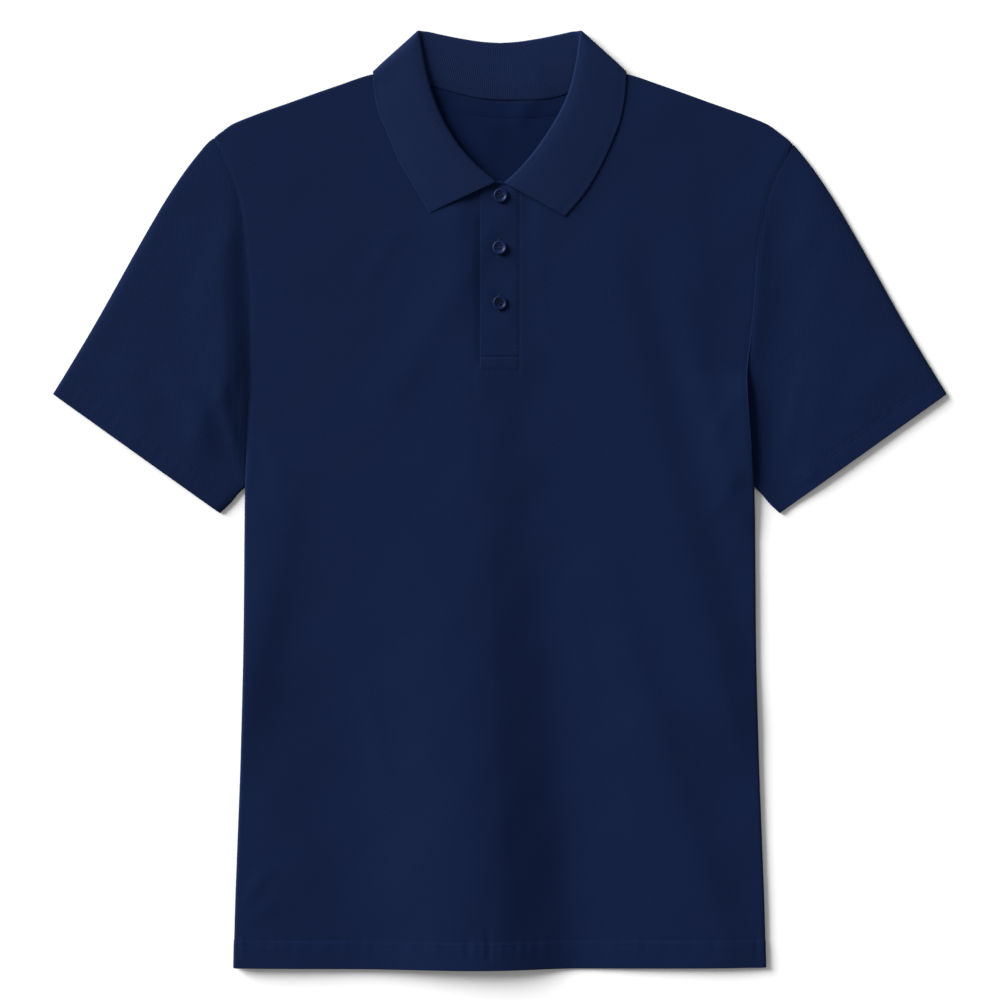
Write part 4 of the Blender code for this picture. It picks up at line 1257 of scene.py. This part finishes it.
def insideWithPaintedShadeMaterial():
    # The flatter reverse of the knit: fine courses along the cloth, duller than the face, and darker partly
    # as painted shade of the shadowed inside
    sheet = NodeSheet("piqueReverseWithPaintedShade")
    loops = loopWaves(sheet, *sheet.clothCoordinates(), reverseSideWithPaintedShade["loop"])
    height = sheet.math("MULTIPLY_ADD", loops, 0.5, 0.5)
    # The loops' height is also painted as shade
    return sheet.finishCloth(reverseSideWithPaintedShade, height, height)


def ribMaterial():
    # Rounded ribs across the strip with small stitches along each
    sheet = NodeSheet("navyRib")
    u, v = sheet.clothCoordinates()
    ribs = sheet.math("MULTIPLY_ADD", sheet.wave("COSINE", u, rib["pitch"]), 0.5, 0.5)
    ribs = sheet.math("POWER", ribs, rib["round"])
    across = sheet.math("ABSOLUTE", sheet.wave("SINE", u, 2 * rib["pitch"]))
    courses = sheet.wave("SINE", sheet.math("MULTIPLY_ADD", across, rib["lean"], v), rib["course"])
    height = sheet.math("MULTIPLY_ADD", sheet.math("MULTIPLY", courses, ribs), rib["loops"], ribs)
    fuzz = sheet.math("MULTIPLY_ADD", sheet.noise(0.0005), rib["fuzz"], height)
    # The ribs' height is also painted as shade
    return sheet.finishCloth(rib, ribs, fuzz)


def buttonMaterial():
    # Moulded plastic: faint clouding, and a very slight orange peel
    sheet = NodeSheet("navyButton")
    return sheet.finish(gloss, sheet.between(sheet.noise(0.0022, 3.0), 0.8, 1.2), sheet.noise(0.0007))


def threadMaterial():
    # Twisted yarn: slanting strands by a wave on Object coordinates, painted darker between the strands and
    # lighter on them as shade of the twist
    sheet = NodeSheet("navyThread")
    strands = sheet.add("ShaderNodeTexWave", [sheet.objectCoordinates()], wave_type="BANDS",
                        bands_direction="DIAGONAL", Scale=1 / 0.0006).outputs["Fac"]
    return sheet.finish(thread, sheet.between(strands, 0.8, 1.2), strands)


def floorMaterial():
    sheet = NodeSheet("paleFloor")
    sheet.put(sheet.between(sheet.noise(0.02, 4.0), 0.7, 0.8), sheet.surface["Roughness"])
    sheet.put(sheet.grey(sheet.between(sheet.noise(0.6), 0.86, 0.88)), sheet.surface["Base Color"])
    sheet.put(0.1, sheet.surface["Specular IOR Level"])
    return sheet.material


clothPique, clothRib, piqueInsideWithPaintedShade = piqueMaterial(), ribMaterial(), insideWithPaintedShadeMaterial()
buttonPlastic, sewing = buttonMaterial(), threadMaterial()
print("materials made")

back = backPanel(clothPique, piqueInsideWithPaintedShade)
front = frontPanel(clothPique, piqueInsideWithPaintedShade)
print("body panels made")

leftSleeve, leftCuffRows = sleeveTube("leftSleeve", -1, "sleeve_left", clothPique)
rightSleeve, rightCuffRows = sleeveTube("rightSleeve", 1, "sleeve_right", clothPique)
print("sleeves made")

collarPiece, standLine = collarStrip(clothRib)
# The tape takes the inside material, so it is darker as painted shade of the inside of the back
tapePiece = neckTape(piqueInsideWithPaintedShade)
underBand, topBand = placketBands(clothPique)
print("collar, tape and placket made")

for number, (x, y) in enumerate(placket["buttons"], 1):
    turn, tilt = button["turns"][number - 1], button["tilts"][number - 1]
    seat = roundButton(f"button{number}", f"button_{number}", x, y, turn, tilt, buttonPlastic)
    buttonThreads(f"button{number}Thread", x, y, seat, turn, sewing)
    buttonholeThreads(f"buttonhole{number}", x, y, number == 1, sewing)
print("buttons made")

bodyStitches(sewing)
placketStitches(sewing)
tapeStitches(sewing)
threadObject("standStitches", "rib", [stitchRow(standLine)], sewing)
for name, rows in (("leftCuffStitches", leftCuffRows), ("rightCuffStitches", rightCuffRows)):
    threadObject(name, "pique", [stitchRow(row + [0, 0, stitch["lift"]]) for row in rows], sewing)
print("stitches made")

# Stage: floor, lights and camera
stage = {
    "floorHalf": 150000.0,
    "keyFrom": (-0.797, 0.498, 0.342),   # direction to the key light
    "keyStrength": 8.6,
    "keyAngle": 38.0,
    "fill": 0.37,
    "lens": 85.0,
    "clip": (0.05, 300),
    "frameWidth": 0.82,
    "frameCentre": (0.00016, -0.00016),
    "level": 0.005,
}


def makeStage():
    corners = stage["floorHalf"] * np.array([(-1, -1, 0), (1, -1, 0), (1, 1, 0), (-1, 1, 0)])
    makeObject("floor", corners, np.array([(0, 1, 2, 3)]), floorMaterial())

    sun = bpy.data.lights.new("softKey", "SUN")
    sun.energy, sun.angle = stage["keyStrength"], np.radians(stage["keyAngle"])
    key = linked("softKey", sun)
    towards = Vector(stage["keyFrom"])
    key.rotation_euler = towards.to_track_quat("Z", "Y").to_euler()
    key.location = towards * 3

    world = bpy.data.worlds.new("studio")
    world.use_nodes = True
    sky = world.node_tree.nodes["Background"].inputs
    sky["Color"].default_value, sky["Strength"].default_value = (1, 1, 1, 1), stage["fill"]
    bpy.context.scene.world = world
    bpy.context.scene.view_settings.view_transform = "Standard"

    lens = bpy.data.cameras.new("camera")
    lens.lens = stage["lens"]
    lens.clip_start, lens.clip_end = stage["clip"]
    camera = linked("camera", lens)
    rise = stage["frameWidth"] * stage["lens"] / lens.sensor_width
    camera.location = (*stage["frameCentre"], stage["level"] + rise)
    bpy.context.scene.camera = camera


makeStage()
print("stage made")

bpy.context.view_layer.update()
